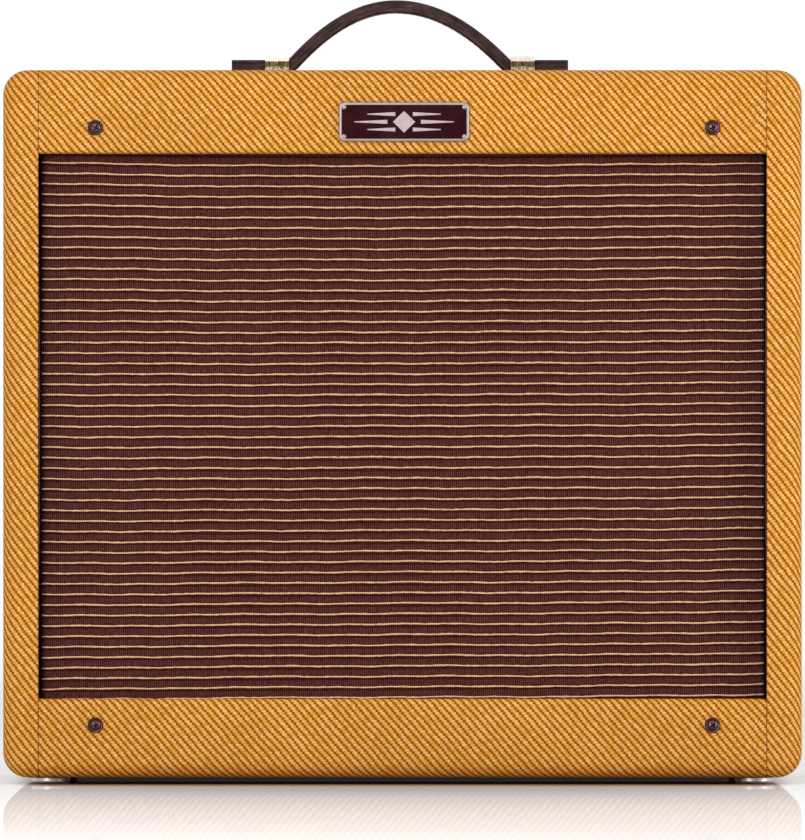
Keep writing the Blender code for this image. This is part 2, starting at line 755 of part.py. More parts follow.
def make_toggle():
    """The power switch: a housing below the panel, a threaded collar through it, and a bat lever."""
    collar_top = 0.3965
    profile = [
        (0.0056, collar_top),
        (0.0056, 0.3840),
        (0.0036, 0.3840),
        (0.0036, collar_top),
    ]
    switch = turned("power_switch_body", profile, "nickel", 12, (TOGGLE_X, CONTROL_Y, 0))
    low = (TOGGLE_X - 0.0065, CONTROL_Y - 0.011, 0.3600)
    high = (TOGGLE_X + 0.0065, CONTROL_Y + 0.011, CHASSIS_TOP - SHEET - GAP)
    housing = helper("switch_housing", boxes("switch_housing", (low, high)))
    bm = bmesh.new()
    add_cylinder(bm, 0.0040, 0.3860, 0.41, TOGGLE_X, CONTROL_Y, 12)
    cut(housing, helper("switch_well", mesh_of("switch_well", bm)))
    join(switch, housing)
    lever = [
        (0, 0.0130),
        (0.0016, 0.0125),
        (0.0024, 0.0110),
        (0.0013, 0.0020),
        (0.0022, 0.0005),
        (0.0022, -0.0012),
        (0.0010, -0.0024),
        (0, -0.0024),
    ]
    pivot = (TOGGLE_X, CONTROL_Y, TOGGLE_PIVOT_Z)
    turned("power_switch_lever", lever, "chrome", 10, pivot, (-TOGGLE_LEAN, 0, 0))


def make_lamp():
    bezel_top = CHASSIS_TOP + 0.0028
    holder = [
        (0, bezel_top),
        (0.0082, bezel_top),
        (0.0092, CHASSIS_TOP + 0.0012),
        (0.0092, CHASSIS_TOP + GAP),
        (0.0075, CHASSIS_TOP + GAP),
        (0.0075, 0.3600),
        (0, 0.3600),
    ]
    turned("pilot_lamp_holder", holder, "chrome", 16, (JEWEL_X, CONTROL_Y, 0))
    jewel = [
        (0, bezel_top + 0.0085),
        (0.0030, bezel_top + 0.0080),
        (0.0058, bezel_top + 0.0055),
        (0.0067, bezel_top + GAP),
        (0, bezel_top + GAP),
    ]
    turned("pilot_jewel", jewel, "jewel_red", 8, (JEWEL_X, CONTROL_Y, 0))


def make_fuse():
    flange_top = CHASSIS_TOP + 0.0023
    holder = [
        (0, flange_top),
        (0.0078, flange_top),
        (0.0078, CHASSIS_TOP + GAP),
        (0.0059, CHASSIS_TOP + GAP),
        (0.0059, 0.3560),
        (0, 0.3560),
    ]
    turned("fuse_holder", holder, "black_plastic", 12, (FUSE_X, CONTROL_Y, 0))
    cap_top = flange_top + 0.0085
    cap = [
        (0, cap_top),
        (0.0048, cap_top),
        (0.0055, cap_top - 0.001),
        (0.0057, flange_top + GAP),
        (0, flange_top + GAP),
    ]
    fuse_cap = turned("fuse_cap", cap, "black_plastic", 12, (FUSE_X, CONTROL_Y, 0))
    low = (FUSE_X - 0.0007, CONTROL_Y - 0.008, cap_top - 0.0018)
    high = (FUSE_X + 0.0007, CONTROL_Y + 0.008, cap_top + 0.002)
    cut(fuse_cap, helper("fuse_cap_slot", boxes("fuse_cap_slot", (low, high))))


def make_valves():
    bm = bmesh.new()
    for x in (*POWER_VALVES.values(), *PREAMP_VALVES.values()):
        add_cylinder(bm, SOCKET_RADIUS, VALVE_TOP + GAP, SOCKET_BOARD_Z + 0.0005, x, VALVE_Y, 12)
    low = (-0.010, VALVE_Y - 0.014, SOCKET_BOARD_Z)
    high = (0.162, VALVE_Y + 0.014, SOCKET_BOARD_Z + BOARD_SHEET)
    board = part("tube_socket_board", boxes("socket_board", (low, high)), "circuit_board")
    join(board, helper("tube_sockets", mesh_of("tube_sockets", bm)))
    for valves, (radius, tip) in ((POWER_VALVES, POWER_VALVE), (PREAMP_VALVES, PREAMP_VALVE)):
        profile = [
            (0, VALVE_TOP),
            (radius - 0.001, VALVE_TOP),
            (radius, VALVE_TOP - 0.003),
            (radius, tip + 0.011),
            (radius * 0.75, tip + 0.0055),
            (0.0030, tip + 0.0030),
            (0.0015, tip),
            (0, tip),
        ]
        for name, x in valves.items():
            turned(name, profile, "valve_glass", 12, (x, VALVE_Y, 0))


def make_transformer(name, core_low, core_high, coil_low, coil_high):
    core = part(name, boxes(name, (core_low, core_high)), "transformer")
    join(core, helper(f"{name}_coil", boxes(f"{name}_coil", (coil_low, coil_high))))


def make_transformers():
    top = CHASSIS_BOTTOM - GAP
    make_transformer(
        "power_transformer",
        (-0.148, 0.060, 0.265),
        (-0.078, 0.086, top),
        (-0.136, 0.046, 0.279),
        (-0.090, 0.100, 0.317),
    )
    make_transformer(
        "output_transformer",
        (-0.068, 0.056, 0.286),
        (-0.024, 0.074, top),
        (-0.059, 0.047, 0.295),
        (-0.033, 0.083, 0.319),
    )


def make_mains_inlet():
    """A socket for a detachable mains lead, facing down, with its three pins inside."""

    def around(x, y, low, high):
        return ((INLET_X - x, INLET_Y - y, low), (INLET_X + x, INLET_Y + y, high))

    flange_bottom = CHASSIS_BOTTOM - 0.003
    cavity_top = 0.3430
    inlet = part("mains_inlet", boxes("mains_inlet", around(0.0155, 0.0125, flange_bottom, 0.3277)), "black_plastic")
    join(inlet, helper("inlet_body", boxes("inlet_body", around(0.0134, 0.0100, 0.3270, 0.3460))))
    cut(inlet, helper("inlet_cavity", boxes("inlet_cavity", around(0.0120, 0.0080, 0.32, cavity_top))))
    pins = []
    for x, y in ((-0.007, -0.0035), (0.007, -0.0035), (0, 0.004)):
        low = (INLET_X + x - 0.001, INLET_Y + y - 0.002, flange_bottom + 0.002)
        high = (INLET_X + x + 0.001, INLET_Y + y + 0.002, cavity_top + 0.001)
        pins.append((low, high))
    join(inlet, helper("inlet_pins", boxes("inlet_pins", *pins)))


def make_reverb_tank():
    """A folded pan that lies open side down on the bottom board."""
    low, high = Vector(TANK_LOW), Vector(TANK_HIGH)
    tank = part("reverb_tank", boxes("reverb_tank", (low, high)), "zinc_steel")
    inside = boxes("tank_inside", (low + Vector((0.002, 0.002, -0.01)), high - Vector((0.002, 0.002, 0.002))))
    cut(tank, helper("tank_inside", inside))


def make_speaker_lead():
    """The lead from the chassis to the speaker's terminals, held at both ends."""
    x = TERMINAL_RADIUS * math.cos(TERMINAL_ANGLE)
    z = SPEAKER_Z + TERMINAL_RADIUS * math.sin(TERMINAL_ANGLE)
    start = Vector((*LEAD_HOLE, CHASSIS_BOTTOM + 0.004))
    end = Vector((x, -0.038 + 0.0005, z))
    leaving = start + Vector((0, 0, -0.050))
    arriving = end + Vector((0, 0.055, -0.004))
    steps = 14
    points = []
    for step in range(steps + 1):
        t = step / steps
        weights = ((1 - t) ** 3, 3 * t * (1 - t) ** 2, 3 * t * t * (1 - t), t**3)
        points.append(sum((w * p for w, p in zip(weights, (start, leaving, arriving, end))), Vector()))
    curve = bpy.data.curves.new("speaker_lead", "CURVE")
    curve.dimensions = "3D"
    curve.bevel_depth = LEAD_RADIUS
    curve.bevel_resolution = 2
    curve.use_fill_caps = True
    spline = curve.splines.new("POLY")
    spline.points.add(len(points) - 1)
    for control, point in zip(spline.points, points):
        control.co = (*point, 1)
    part("speaker_lead", curve, "black_plastic")


clear_scene()
PARTS = new_collection("guitar_amplifier")
HELPERS = new_collection("cutters")
DATUM = bpy.data.objects.new("datum", None)
PARTS.objects.link(DATUM)
DATUM.location = (0, SCREW_PROUD / 2, 0)
HOLES = {"front_screws": make_front_screw_holes()}

make_cabinet()
make_front_screws()
make_feet()
make_nameplate()
make_strap()
make_clamps()
make_basket()
make_cone()
make_motor()
make_chassis()
make_circuit_board()
make_knobs()
make_input_jack()
make_push_button()
make_toggle()
make_lamp()
make_fuse()
make_valves()
make_transformers()
make_mains_inlet()
make_reverb_tank()
make_speaker_lead()
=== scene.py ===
"""The looks of a tweed-covered valve combo amplifier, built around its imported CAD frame.

Metres, +Z up, the grille facing -Y. Places come from the CAD nodes' boxes. Sections: mesh tools,
material tools, cabinet, grille, nameplate, screws, handle and feet, speaker, control panel, inside,
and stage.
"""

import math
import random

import bmesh
import bpy
from mathutils import Matrix, Vector


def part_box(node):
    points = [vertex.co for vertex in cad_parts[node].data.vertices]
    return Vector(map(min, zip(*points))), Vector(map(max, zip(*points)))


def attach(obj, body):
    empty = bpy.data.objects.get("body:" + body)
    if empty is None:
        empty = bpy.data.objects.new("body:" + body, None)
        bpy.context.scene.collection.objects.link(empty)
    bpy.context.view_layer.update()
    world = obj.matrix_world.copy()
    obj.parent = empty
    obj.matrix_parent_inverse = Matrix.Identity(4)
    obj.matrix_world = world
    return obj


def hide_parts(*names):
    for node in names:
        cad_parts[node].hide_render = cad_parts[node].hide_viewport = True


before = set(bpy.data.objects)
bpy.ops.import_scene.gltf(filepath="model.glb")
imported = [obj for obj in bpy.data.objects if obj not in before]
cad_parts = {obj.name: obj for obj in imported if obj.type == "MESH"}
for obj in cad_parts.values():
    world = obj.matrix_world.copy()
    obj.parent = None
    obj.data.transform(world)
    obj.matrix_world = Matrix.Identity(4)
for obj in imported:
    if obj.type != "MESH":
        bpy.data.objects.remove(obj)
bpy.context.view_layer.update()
random.seed(7)

BODY = "cabinet"
MM = 0.001
TO_FRONT = Matrix.Rotation(math.radians(90), 4, "X")  # stands a turned shape's +Z towards the front
TO_BACK = Matrix.Rotation(math.radians(-90), 4, "X")


def middle_of(node):
    low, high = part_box(node)
    return (low + high) / 2


def half_width(low, high):
    return (high.x - low.x) / 2


# Driving places and sizes, read from the CAD where it has them
side_low, side_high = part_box("side_board_left")
FRONT, REAR = side_low.y, side_high.y
BASE, TOP = side_low.z, side_high.z
OUTER_X = -side_low.x
INNER_X = -side_high.x
CORNER_ROUND = 14 * MM
RIM_ROUND = 9.5 * MM
EDGE_ROUND = 3 * MM
SEAM = 0.15 * MM  # left open where two covered boards meet
RECESS_X = 0.165  # half the width of the cut-out over the control panel
RECESS_LIP = 12 * MM  # of the top board, over the chassis' front edge
BACK_SCREW_X = 0.196
CHASSIS_SCREW_X = 0.1765
HEAD_LIFT = 1.5 * MM  # of a screw head's rim, in its cup washer

TWILL_PERIOD = 3.37 * MM  # between two dark lines of the tweed, square to them
TWILL_ANGLE = 49  # the lines' fall to the right, in degrees
THREAD = 1.5 * MM
RIB_PITCH = 1.2 * MM  # of the grille cloth's upright ribs
STRAND_PITCH = 6.004 * MM  # of its pale cross threads
CLOTH_BOW = 1.7 * MM  # the topmost thread hangs this much lower in its middle
CLOTH_LEAN = 1.4 * MM  # the lowest ends this much below an even place at the left and above it at the right
FIRST_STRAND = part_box("front_top_rail")[0].z - 5.0 * MM
CLOTH_SPAN = FIRST_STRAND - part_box("front_bottom_rail")[1].z

STRAP_LOW, STRAP_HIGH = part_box("handle_strap")
STRAP_THICKNESS = 7.0 * MM
STRAP_LAYERS = 3
STRAP_PEAK = 2.3 * MM  # to the left of the strap's middle
STRAP_BENDS = (9.4, 8.3)  # curvature term of the arch's left and right halves, per metre
STRAP_EASE = 0.6 * MM  # softens the turn from the flat ends into the arch

speaker_middle = middle_of("speaker_magnet")
SPEAKER_AXIS = Vector((speaker_middle.x, 0, speaker_middle.z))
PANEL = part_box("chassis")[1].z
CONTROLS_Y = middle_of("fat_switch_button").y
KNOB_NAMES = ("volume", "treble", "bass", "middle", "master", "reverb")
JACK_FOOT = 0.358  # how far down the jack's bush and the power switch's go
SWITCH_FOOT = 0.384
LEVER_PIVOT = 0.3935
BOARD_SHEET = 1.6 * MM  # thickness of a circuit board


# Mesh tools


def srgb(red, green, blue):
    """A colour from 0 to 255 a channel, as the linear values that shaders take."""
    channels = [value / 255 for value in (red, green, blue)]
    linear = [c / 12.92 if c <= 0.04045 else ((c + 0.055) / 1.055) ** 2.4 for c in channels]
    return (*linear, 1)


def smooth(mesh, angle=35):
    mesh.shade_smooth()
    mesh.set_sharp_from_angle(angle=math.radians(angle))
    return mesh


def mesh_of(name, bm, angle=35):
    mesh = bpy.data.meshes.new(name)
    bm.to_mesh(mesh)
    bm.free()
    return smooth(mesh, angle)


def linked(name, data):
    obj = bpy.data.objects.new(name, data)
    bpy.context.scene.collection.objects.link(obj)
    return obj


def piece(name, mesh, material, body=BODY, location=(0, 0, 0), rotation=(0, 0, 0), replaces=()):
    """A visible piece of the object, riding on a body, from a mesh or a bmesh."""
    if isinstance(mesh, bmesh.types.BMesh):
        mesh = mesh_of(name, mesh)
    if not mesh.materials:
        mesh.materials.append(material)
    obj = linked(name, mesh)
    obj.location = location
    obj.rotation_euler = rotation
    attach(obj, body)
    if replaces:
        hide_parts(*replaces)
    return obj


def dress(node, material, bevel=0.0, segments=2):
    """A CAD node that stays, with its material and perhaps its edges rounded."""
    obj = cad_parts[node]
    obj.data.materials.clear()
    obj.data.materials.append(material)
    if bevel:
        modifier = obj.modifiers.new("edges", "BEVEL")
        modifier.width = bevel
        modifier.segments = segments
        modifier.limit_method = "ANGLE"
        modifier.angle_limit = math.radians(40)
        modifier.harden_normals = True
    return obj


def add_box(bm, low, high):
    size = Vector(high) - Vector(low)
    middle = (Vector(high) + Vector(low)) / 2
    bmesh.ops.create_cube(bm, size=1, matrix=Matrix.Translation(middle) @ Matrix.Diagonal((*size, 1)))


def round_edges(bm, edges, radius, segments):
    bmesh.ops.bevel(bm, geom=edges, offset=radius, segments=segments, profile=0.5, affect="EDGES")


def rounded_box(name, low, high, radius, segments=3):
    bm = bmesh.new()
    add_box(bm, low, high)
    round_edges(bm, bm.edges[:], radius, segments)
    return mesh_of(name, bm)


def in_mm(base, *points):
    """Profile points from (radius, height) in millimetres, the heights counted from a base in metres."""
    return [(radius * MM, base + height * MM) for radius, height in points]


def round_points(radius, count):
    angles = [math.tau * k / count for k in range(count)]
    return [(radius * math.cos(a), radius * math.sin(a)) for a in angles]


def add_lathe(bm, profile, steps, matrix=Matrix(), closed=False):
    """A turned shape about Z: (radius, height) down the outer side. A point on the axis closes the shape."""
    rings = []
    for radius, height in profile:
        points = round_points(radius, 1 if radius < 1e-7 else steps)
        rings.append([bm.verts.new(matrix @ Vector((x, y, height))) for x, y in points])
    pairs = list(zip(rings, rings[1:]))
    if closed:
        pairs.append((rings[-1], rings[0]))
    for upper, lower in pairs:
        for k in range(steps):
            corners = [upper[k % len(upper)], lower[k % len(lower)]]
            corners += [lower[(k + 1) % len(lower)], upper[(k + 1) % len(upper)]]
            corners = list(dict.fromkeys(corners))
            if len(corners) > 2:
                bm.faces.new(corners)


def lathe(name, profile, steps=48, matrix=Matrix(), closed=False, angle=35):
    bm = bmesh.new()
    add_lathe(bm, profile, steps, matrix, closed)
    bmesh.ops.recalc_face_normals(bm, faces=bm.faces)
    return mesh_of(name, bm, angle)


def add_prism(bm, outline, low, high, matrix=Matrix()):
    """An outline in XY between two heights."""
    bottom = [bm.verts.new(matrix @ Vector((x, y, low))) for x, y in outline]
    top = [bm.verts.new(matrix @ Vector((x, y, high))) for x, y in outline]
    bm.faces.new(bottom[::-1])
    bm.faces.new(top)
    for k in range(len(outline)):
        after = (k + 1) % len(outline)
        bm.faces.new((bottom[k], bottom[after], top[after], top[k]))


def prism(name, outline, low, high, matrix=Matrix(), bevel=0.0, segments=2):
    bm = bmesh.new()
    add_prism(bm, outline, low, high, matrix)
    bmesh.ops.recalc_face_normals(bm, faces=bm.faces)
    if bevel:
        sharp = [edge for edge in bm.edges if edge.calc_face_angle(0) > math.radians(40)]
        round_edges(bm, sharp, bevel, segments)
    return mesh_of(name, bm)


def bridge(bm, first, second):
    """Faces between two closed rings of as many vertices."""
    for k in range(len(first)):
        after = (k + 1) % len(first)
        bm.faces.new((first[k], first[after], second[after], second[k]))


def corners(firsts, seconds):
    """Every pair of the two coordinates, numbered from 1."""
    return enumerate([(first, second) for first in firsts for second in seconds], 1)


def arc(centre_x, centre_y, radius, start, end, steps):
    angles = [math.radians(start + (end - start) * step / steps) for step in range(steps + 1)]
    return [(centre_x + radius * math.cos(a), centre_y + radius * math.sin(a)) for a in angles]


def rounded_rectangle(width, height, radius, steps=6):
    x = width / 2 - radius
    y = height / 2 - radius
    corners = ((x, y, 0), (-x, y, 90), (-x, -y, 180), (x, -y, 270))
    return [point for cx, cy, start in corners for point in arc(cx, cy, radius, start, start + 90, steps)]


def add_tube(bm, points, radius, sides=8, radii=None):
    """A round tube along the points, capped at both ends."""
    points = [Vector(p) for p in points]
    rings = []
    side = None
    for k, point in enumerate(points):
        ahead = points[min(k + 1, len(points) - 1)] - points[max(k - 1, 0)]
        ahead.normalize()
        if side is None:
            side = ahead.orthogonal().normalized()
        side = (side - ahead * side.dot(ahead)).normalized()
        other = ahead.cross(side)
        size = radii[k] if radii else radius
        circle = [x * side + y * other for x, y in round_points(1, sides)]
        rings.append([bm.verts.new(point + size * spoke) for spoke in circle])
    for first, second in zip(rings, rings[1:]):
        bridge(bm, first, second)
    bm.faces.new(rings[0][::-1])
    bm.faces.new(rings[-1])


def carved(name, mesh, cutter_mesh):
    """The mesh less the cutter, as a mesh of its own."""
    obj = linked(name + "_blank", mesh)
    cutter = linked(name + "_cutter", cutter_mesh)
    modifier = obj.modifiers.new("cut", "BOOLEAN")
    modifier.operation = "DIFFERENCE"
    modifier.object = cutter
    graph = bpy.context.evaluated_depsgraph_get()
    made = bpy.data.meshes.new_from_object(obj.evaluated_get(graph))
    for item in (obj, cutter):
        bpy.data.objects.remove(item)
    return smooth(made)


# Material tools


class Shader:
    """A Principled material, with short calls for the nodes that feed it."""

    def __init__(self, name, colour=(0.8, 0.8, 0.8, 1), roughness=0.5, metallic=0.0, **settings):
        self.material = bpy.data.materials.new(name)
        self.material.use_nodes = True
        self.tree = self.material.node_tree
        self.principled = self.tree.nodes["Principled BSDF"]
        self.set("Base Color", colour)
        self.set("Roughness", roughness)
        self.set("Metallic", metallic)
        for key, value in settings.items():
            self.set(key.replace("_", " ").title().replace("Ior", "IOR"), value)

    def set(self, name, value):
        self.feed(self.principled.inputs[name], value)

    def feed(self, socket, value):
        if isinstance(value, bpy.types.NodeSocket):
            self.tree.links.new(value, socket)
        else:
            socket.default_value = value

    def node(self, kind, *values, **settings):
        made = self.tree.nodes.new("ShaderNode" + kind)
        for key, value in settings.items():
            setattr(made, key, value)
        for socket, value in zip(made.inputs, values):
            if value is not None:
                self.feed(socket, value)
        return made

    def maths(self, operation, *values):
        return self.node("Math", *values, operation=operation).outputs[0]

    def times(self, first, second):
        return self.maths("MULTIPLY", first, second)

    def minus(self, first, second):
        return self.maths("SUBTRACT", first, second)

    def scaled(self, value, factor, added):
        """value * factor + added"""
        return self.maths("MULTIPLY_ADD", value, factor, added)

    def mix(self, factor, first, second, kind="MIX"):
        made = self.node("Mix", data_type="RGBA", blend_type=kind)
        for socket, value in zip((made.inputs[0], made.inputs[6], made.inputs[7]), (factor, first, second)):
            self.feed(socket, value)
        return made.outputs[2]

    def place(self):
        return self.node("TexCoord").outputs["Object"]

    def stretched(self, vector, scale):
        return self.node("Mapping", vector, None, None, scale).outputs[0]

    def noise(self, vector, scale, detail=2.0, roughness=0.5):
        made = self.node("TexNoise")
        settings = {"Vector": vector, "Scale": scale, "Detail": detail, "Roughness": roughness}
        for name, value in settings.items():
            self.feed(made.inputs[name], value)
        return made.outputs[0]

    def spread(self, value, low, high, to_low=0.0, to_high=1.0, smooth_step=True):
        kind = "SMOOTHSTEP" if smooth_step else "LINEAR"
        made = self.node("MapRange", value, low, high, to_low, to_high, interpolation_type=kind)
        return made.outputs[0]

    def bump(self, height, distance, strength=1.0):
        made = self.node("Bump")
        for name, value in (("Strength", strength), ("Distance", distance), ("Height", height)):
            self.feed(made.inputs[name], value)
        self.set("Normal", made.outputs[0])


def make_tweed(name, angle=TWILL_ANGLE):
    """Varnished twill. Its UVs are in metres: u along the cloth's width, v up."""
    s = Shader(name, roughness=0.55, specular_ior_level=0.05)
    across, up, _ = s.node("SeparateXYZ", s.node("UVMap").outputs[0]).outputs
    place = s.node("UVMap").outputs[0]
    drift = s.minus(s.noise(place, 55.0, 2.0), 0.5)
    wobble = s.minus(s.noise(place, 420.0, 2.0, 0.6), 0.5)
    row = s.maths("ADD", s.maths("DIVIDE", up, THREAD), s.times(wobble, 0.5))
    row_number = s.maths("FLOOR", row)
    in_row = s.minus(row, row_number)
    step_back = s.times(s.minus(0.5, in_row), THREAD * 0.75)
    stepped_up = s.maths("ADD", up, step_back)
    lean = math.radians(angle)
    along = s.times(across, math.sin(lean) / TWILL_PERIOD)
    phase = s.scaled(stepped_up, math.cos(lean) / TWILL_PERIOD, along)
    phase = s.scaled(drift, 0.5, phase)
    phase = s.scaled(wobble, 0.32, phase)
    cycle = s.times(s.maths("ABSOLUTE", s.minus(s.maths("FRACT", phase), 0.5)), 2.0)
    pale = s.spread(cycle, 0.16, 0.62)
    bead = s.maths("SINE", s.times(in_row, math.pi))
    cell = s.node("CombineXYZ", s.maths("FLOOR", s.times(phase, 2.0)), row_number, 0.0).outputs[0]
    tint = s.node("TexWhiteNoise", cell, noise_dimensions="2D").outputs[0]
    light = s.mix(tint, srgb(200, 137, 43), srgb(205, 155, 88))
    dark = s.mix(tint, srgb(134, 76, 3), srgb(118, 60, 4))
    colour = s.mix(pale, dark, light)
    # Painted shade in the grooves between the thread rows; the stain, cell tone and fine noise below are the
    # cloth's own.
    shade = s.spread(bead, 0.0, 0.9, 0.86, 1.02)
    stain = s.spread(s.noise(place, 14.0, 3.0), 0.3, 0.75, 0.94, 1.03)
    shade = s.times(shade, stain)
    shade = s.times(shade, s.spread(tint, 0.0, 1.0, 0.92, 1.06, False))
    shade = s.times(shade, s.spread(s.noise(place, 1500.0, 1.0), 0.25, 0.75, 0.88, 1.1, False))
    colour = s.mix(1.0, colour, s.node("CombineColor", shade, shade, shade).outputs[0], "MULTIPLY")
    s.set("Base Color", s.mix(seam_line(s), colour, srgb(112, 54, 34)))
    s.set("Roughness", s.spread(pale, 0.0, 1.0, 0.75, 0.5))
    s.bump(s.scaled(bead, 0.45, pale), 0.22 * MM, 0.7)
    return s.material


def seam_line(s):
    """One along the cut edges where the side boards' covering meets the rest, broken up by the weave."""
    x = s.node("SeparateXYZ", s.place()).outputs[0]
    from_seam = s.maths("ABSOLUTE", s.minus(s.maths("ABSOLUTE", x), INNER_X))
    frayed = s.spread(s.noise(s.place(), 640.0, 1.0), 0.38, 0.58, 0.2, 0.9)
    return s.times(s.spread(from_seam, 0.12 * MM, 0.6 * MM, 1.0, 0.0), frayed)


def edge_gloom(s, x):
    """A mask of painted shade beside the opening's upright edges, where the recess keeps the cloth in the
    dark.
    """
    left = s.spread(x, 0.6 * MM - INNER_X, 5.0 * MM - INNER_X, 1.0, 0.0)
    return s.maths("MAXIMUM", left, s.spread(x, INNER_X - 3.0 * MM, INNER_X - 0.8 * MM))


def cloth_drop(across, down):
    """How far below its even place a thread hangs: across runs -1 to 1 over the cloth, down 0 to 1."""
    return CLOTH_BOW * (1 - across**2) * (1 - down) - CLOTH_LEAN * across * down


def make_grille_cloth():
    """Ribbed oxblood cloth, with a painted shadow just below each cross thread and painted shade at the
    upright edges.
    """
    s = Shader("grille_cloth", roughness=0.9, specular_ior_level=0.0)
    place = s.place()
    x, _, z = s.node("SeparateXYZ", place).outputs
    sway = s.minus(s.noise(s.stretched(place, (1, 1, 0.25)), 260.0, 2.0), 0.5)
    rib = s.scaled(x, 1 / RIB_PITCH, s.times(sway, 0.5))
    rib = s.scaled(s.maths("SINE", s.times(rib, math.tau)), 0.5, 0.5)
    pick = s.maths("SINE", s.times(z, math.tau / (0.75 * MM)))
    pick = s.scaled(pick, 0.5, 0.5)
    weave = s.scaled(pick, 0.3, s.times(rib, 0.7))
    fleck = s.noise(s.stretched(place, (1, 1, 0.35)), 900.0, 2.0, 0.7)
    weave = s.scaled(s.minus(fleck, 0.5), 0.9, weave)
    colour = s.mix(s.spread(weave, 0.1, 1.05), srgb(38, 8, 6), srgb(90, 54, 50))
    across = s.maths("DIVIDE", x, INNER_X)
    down = s.maths("DIVIDE", s.minus(FIRST_STRAND, z), CLOTH_SPAN)
    bow = s.times(s.minus(1.0, s.times(across, across)), CLOTH_BOW)
    drop = s.times(bow, s.minus(1.0, down))
    drop = s.minus(drop, s.times(s.times(across, down), CLOTH_LEAN))
    row = s.maths("DIVIDE", s.minus(s.minus(FIRST_STRAND, z), drop), STRAND_PITCH)
    below = s.maths("FRACT", row)
    # Painted shadow of each cross thread: a dark band just below it, and a fainter one just above the next
    # thread.
    painted_thread_shadow = s.times(s.spread(below, 0.06, 0.12), s.spread(below, 0.26, 0.38, 1.0, 0.0))
    painted_thread_shadow = s.maths("MAXIMUM", painted_thread_shadow, s.times(s.spread(below, 0.74, 0.9), 0.45))
    colour = s.mix(s.times(painted_thread_shadow, 0.8), colour, srgb(42, 8, 5))
    speck = s.spread(s.noise(place, 2300.0, 1.0), 0.66, 0.78)
    colour = s.mix(s.times(speck, 0.5), colour, srgb(150, 98, 78))
    # Painted shade along the opening's upright edges.
    s.set("Base Color", s.mix(edge_gloom(s, x), colour, srgb(7, 2, 2)))
    s.bump(weave, 0.25 * MM, 0.8)
    return s.material


def make_strand():
    s = Shader("pale_strand", roughness=0.55, specular_ior_level=0.4)
    place = s.place()
    mottle = s.noise(s.stretched(place, (1, 1, 3)), 700.0, 2.0, 0.6)
    colour = s.mix(s.spread(mottle, 0.3, 0.7), srgb(172, 126, 90), srgb(206, 168, 134))
    # Painted shade: the strands' ends darken near the opening's upright edges, like the cloth.
    gloom = edge_gloom(s, s.node("SeparateXYZ", place).outputs[0])
    s.set("Base Color", s.mix(s.times(gloom, 0.85), colour, srgb(60, 30, 22)))
    s.bump(mottle, 0.2 * MM, 0.8)
    return s.material


def make_wood(name, pale, dark):
    """Grain that runs along Z."""
    s = Shader(name, roughness=0.62, specular_ior_level=0.3)
    along = s.stretched(s.place(), (1, 1, 0.08))
    streaks = s.noise(along, 260.0, 4.0, 0.65)
    figure = s.noise(along, 28.0, 2.0)
    grain = s.scaled(figure, 0.6, s.times(streaks, 0.5))
    s.set("Base Color", s.mix(s.spread(grain, 0.35, 0.75), pale, dark))
    s.bump(streaks, 0.15 * MM, 0.5)
    return s.material


def make_metal(name, colour, roughness, smear=0.08, fine=180.0):
    """Plated or bare metal with uneven polish and faint scuffs."""
    s = Shader(name, colour, roughness, 1.0)
    polish = s.noise(s.place(), fine, 3.0, 0.6)
    s.set("Roughness", s.spread(polish, 0.25, 0.75, max(roughness - smear / 2, 0.02), roughness + smear))
    dull = tuple(0.82 * c for c in colour[:3]) + (1,)
    s.set("Base Color", s.mix(s.spread(polish, 0.45, 0.8, 0.0, 0.5), colour, dull))
    s.bump(polish, 0.02 * MM, 0.4)
    return s.material


def make_aged_nickel():
    """Nickel with upright scratches, painted by height: darker brown across its middle, paler below it, and
    painted light on top.
    """
    s = Shader("height_zoned_nickel", roughness=0.38, metallic=1.0)
    place = s.place()
    scratches = s.noise(s.stretched(place, (1, 1, 0.12)), 1500.0, 3.0, 0.7)
    height = s.scaled(scratches, 1.6 * MM, s.node("SeparateXYZ", place).outputs[2])
    dark_middle_zone = s.mix(s.spread(scratches, 0.35, 0.65), srgb(54, 34, 18), srgb(118, 92, 62))
    paler_lower_zone = s.mix(s.spread(scratches, 0.35, 0.6), srgb(96, 74, 48), srgb(178, 166, 148))
    lower = s.mix(s.spread(height, TOP + 3.4 * MM, TOP + 4.6 * MM), paler_lower_zone, dark_middle_zone)
    # Painted light: above TOP + 7.1 mm the clamp is painted bright, as if lit from above.
    s.set("Base Color", s.mix(s.spread(height, TOP + 7.1 * MM, TOP + 7.6 * MM), lower, srgb(196, 190, 180)))
    s.bump(scratches, 0.08 * MM, 0.6)
    return s.material


def make_plastic(name, colour, roughness, grain=900.0, depth=0.02, **settings):
    s = Shader(name, colour, roughness, 0.0, **settings)
    place = s.place()
    pores = s.noise(place, grain, 2.0)
    wear = s.noise(place, 60.0, 3.0, 0.6)
    s.set("Roughness", s.spread(wear, 0.3, 0.75, roughness - 0.05, roughness + 0.12))
    paler = tuple(min(1.0, 1.35 * c + 0.004) for c in colour[:3]) + (1,)
    s.set("Base Color", s.mix(s.spread(wear, 0.35, 0.8), colour, paler))
    s.bump(pores, depth * MM, 0.5)
    return s.material


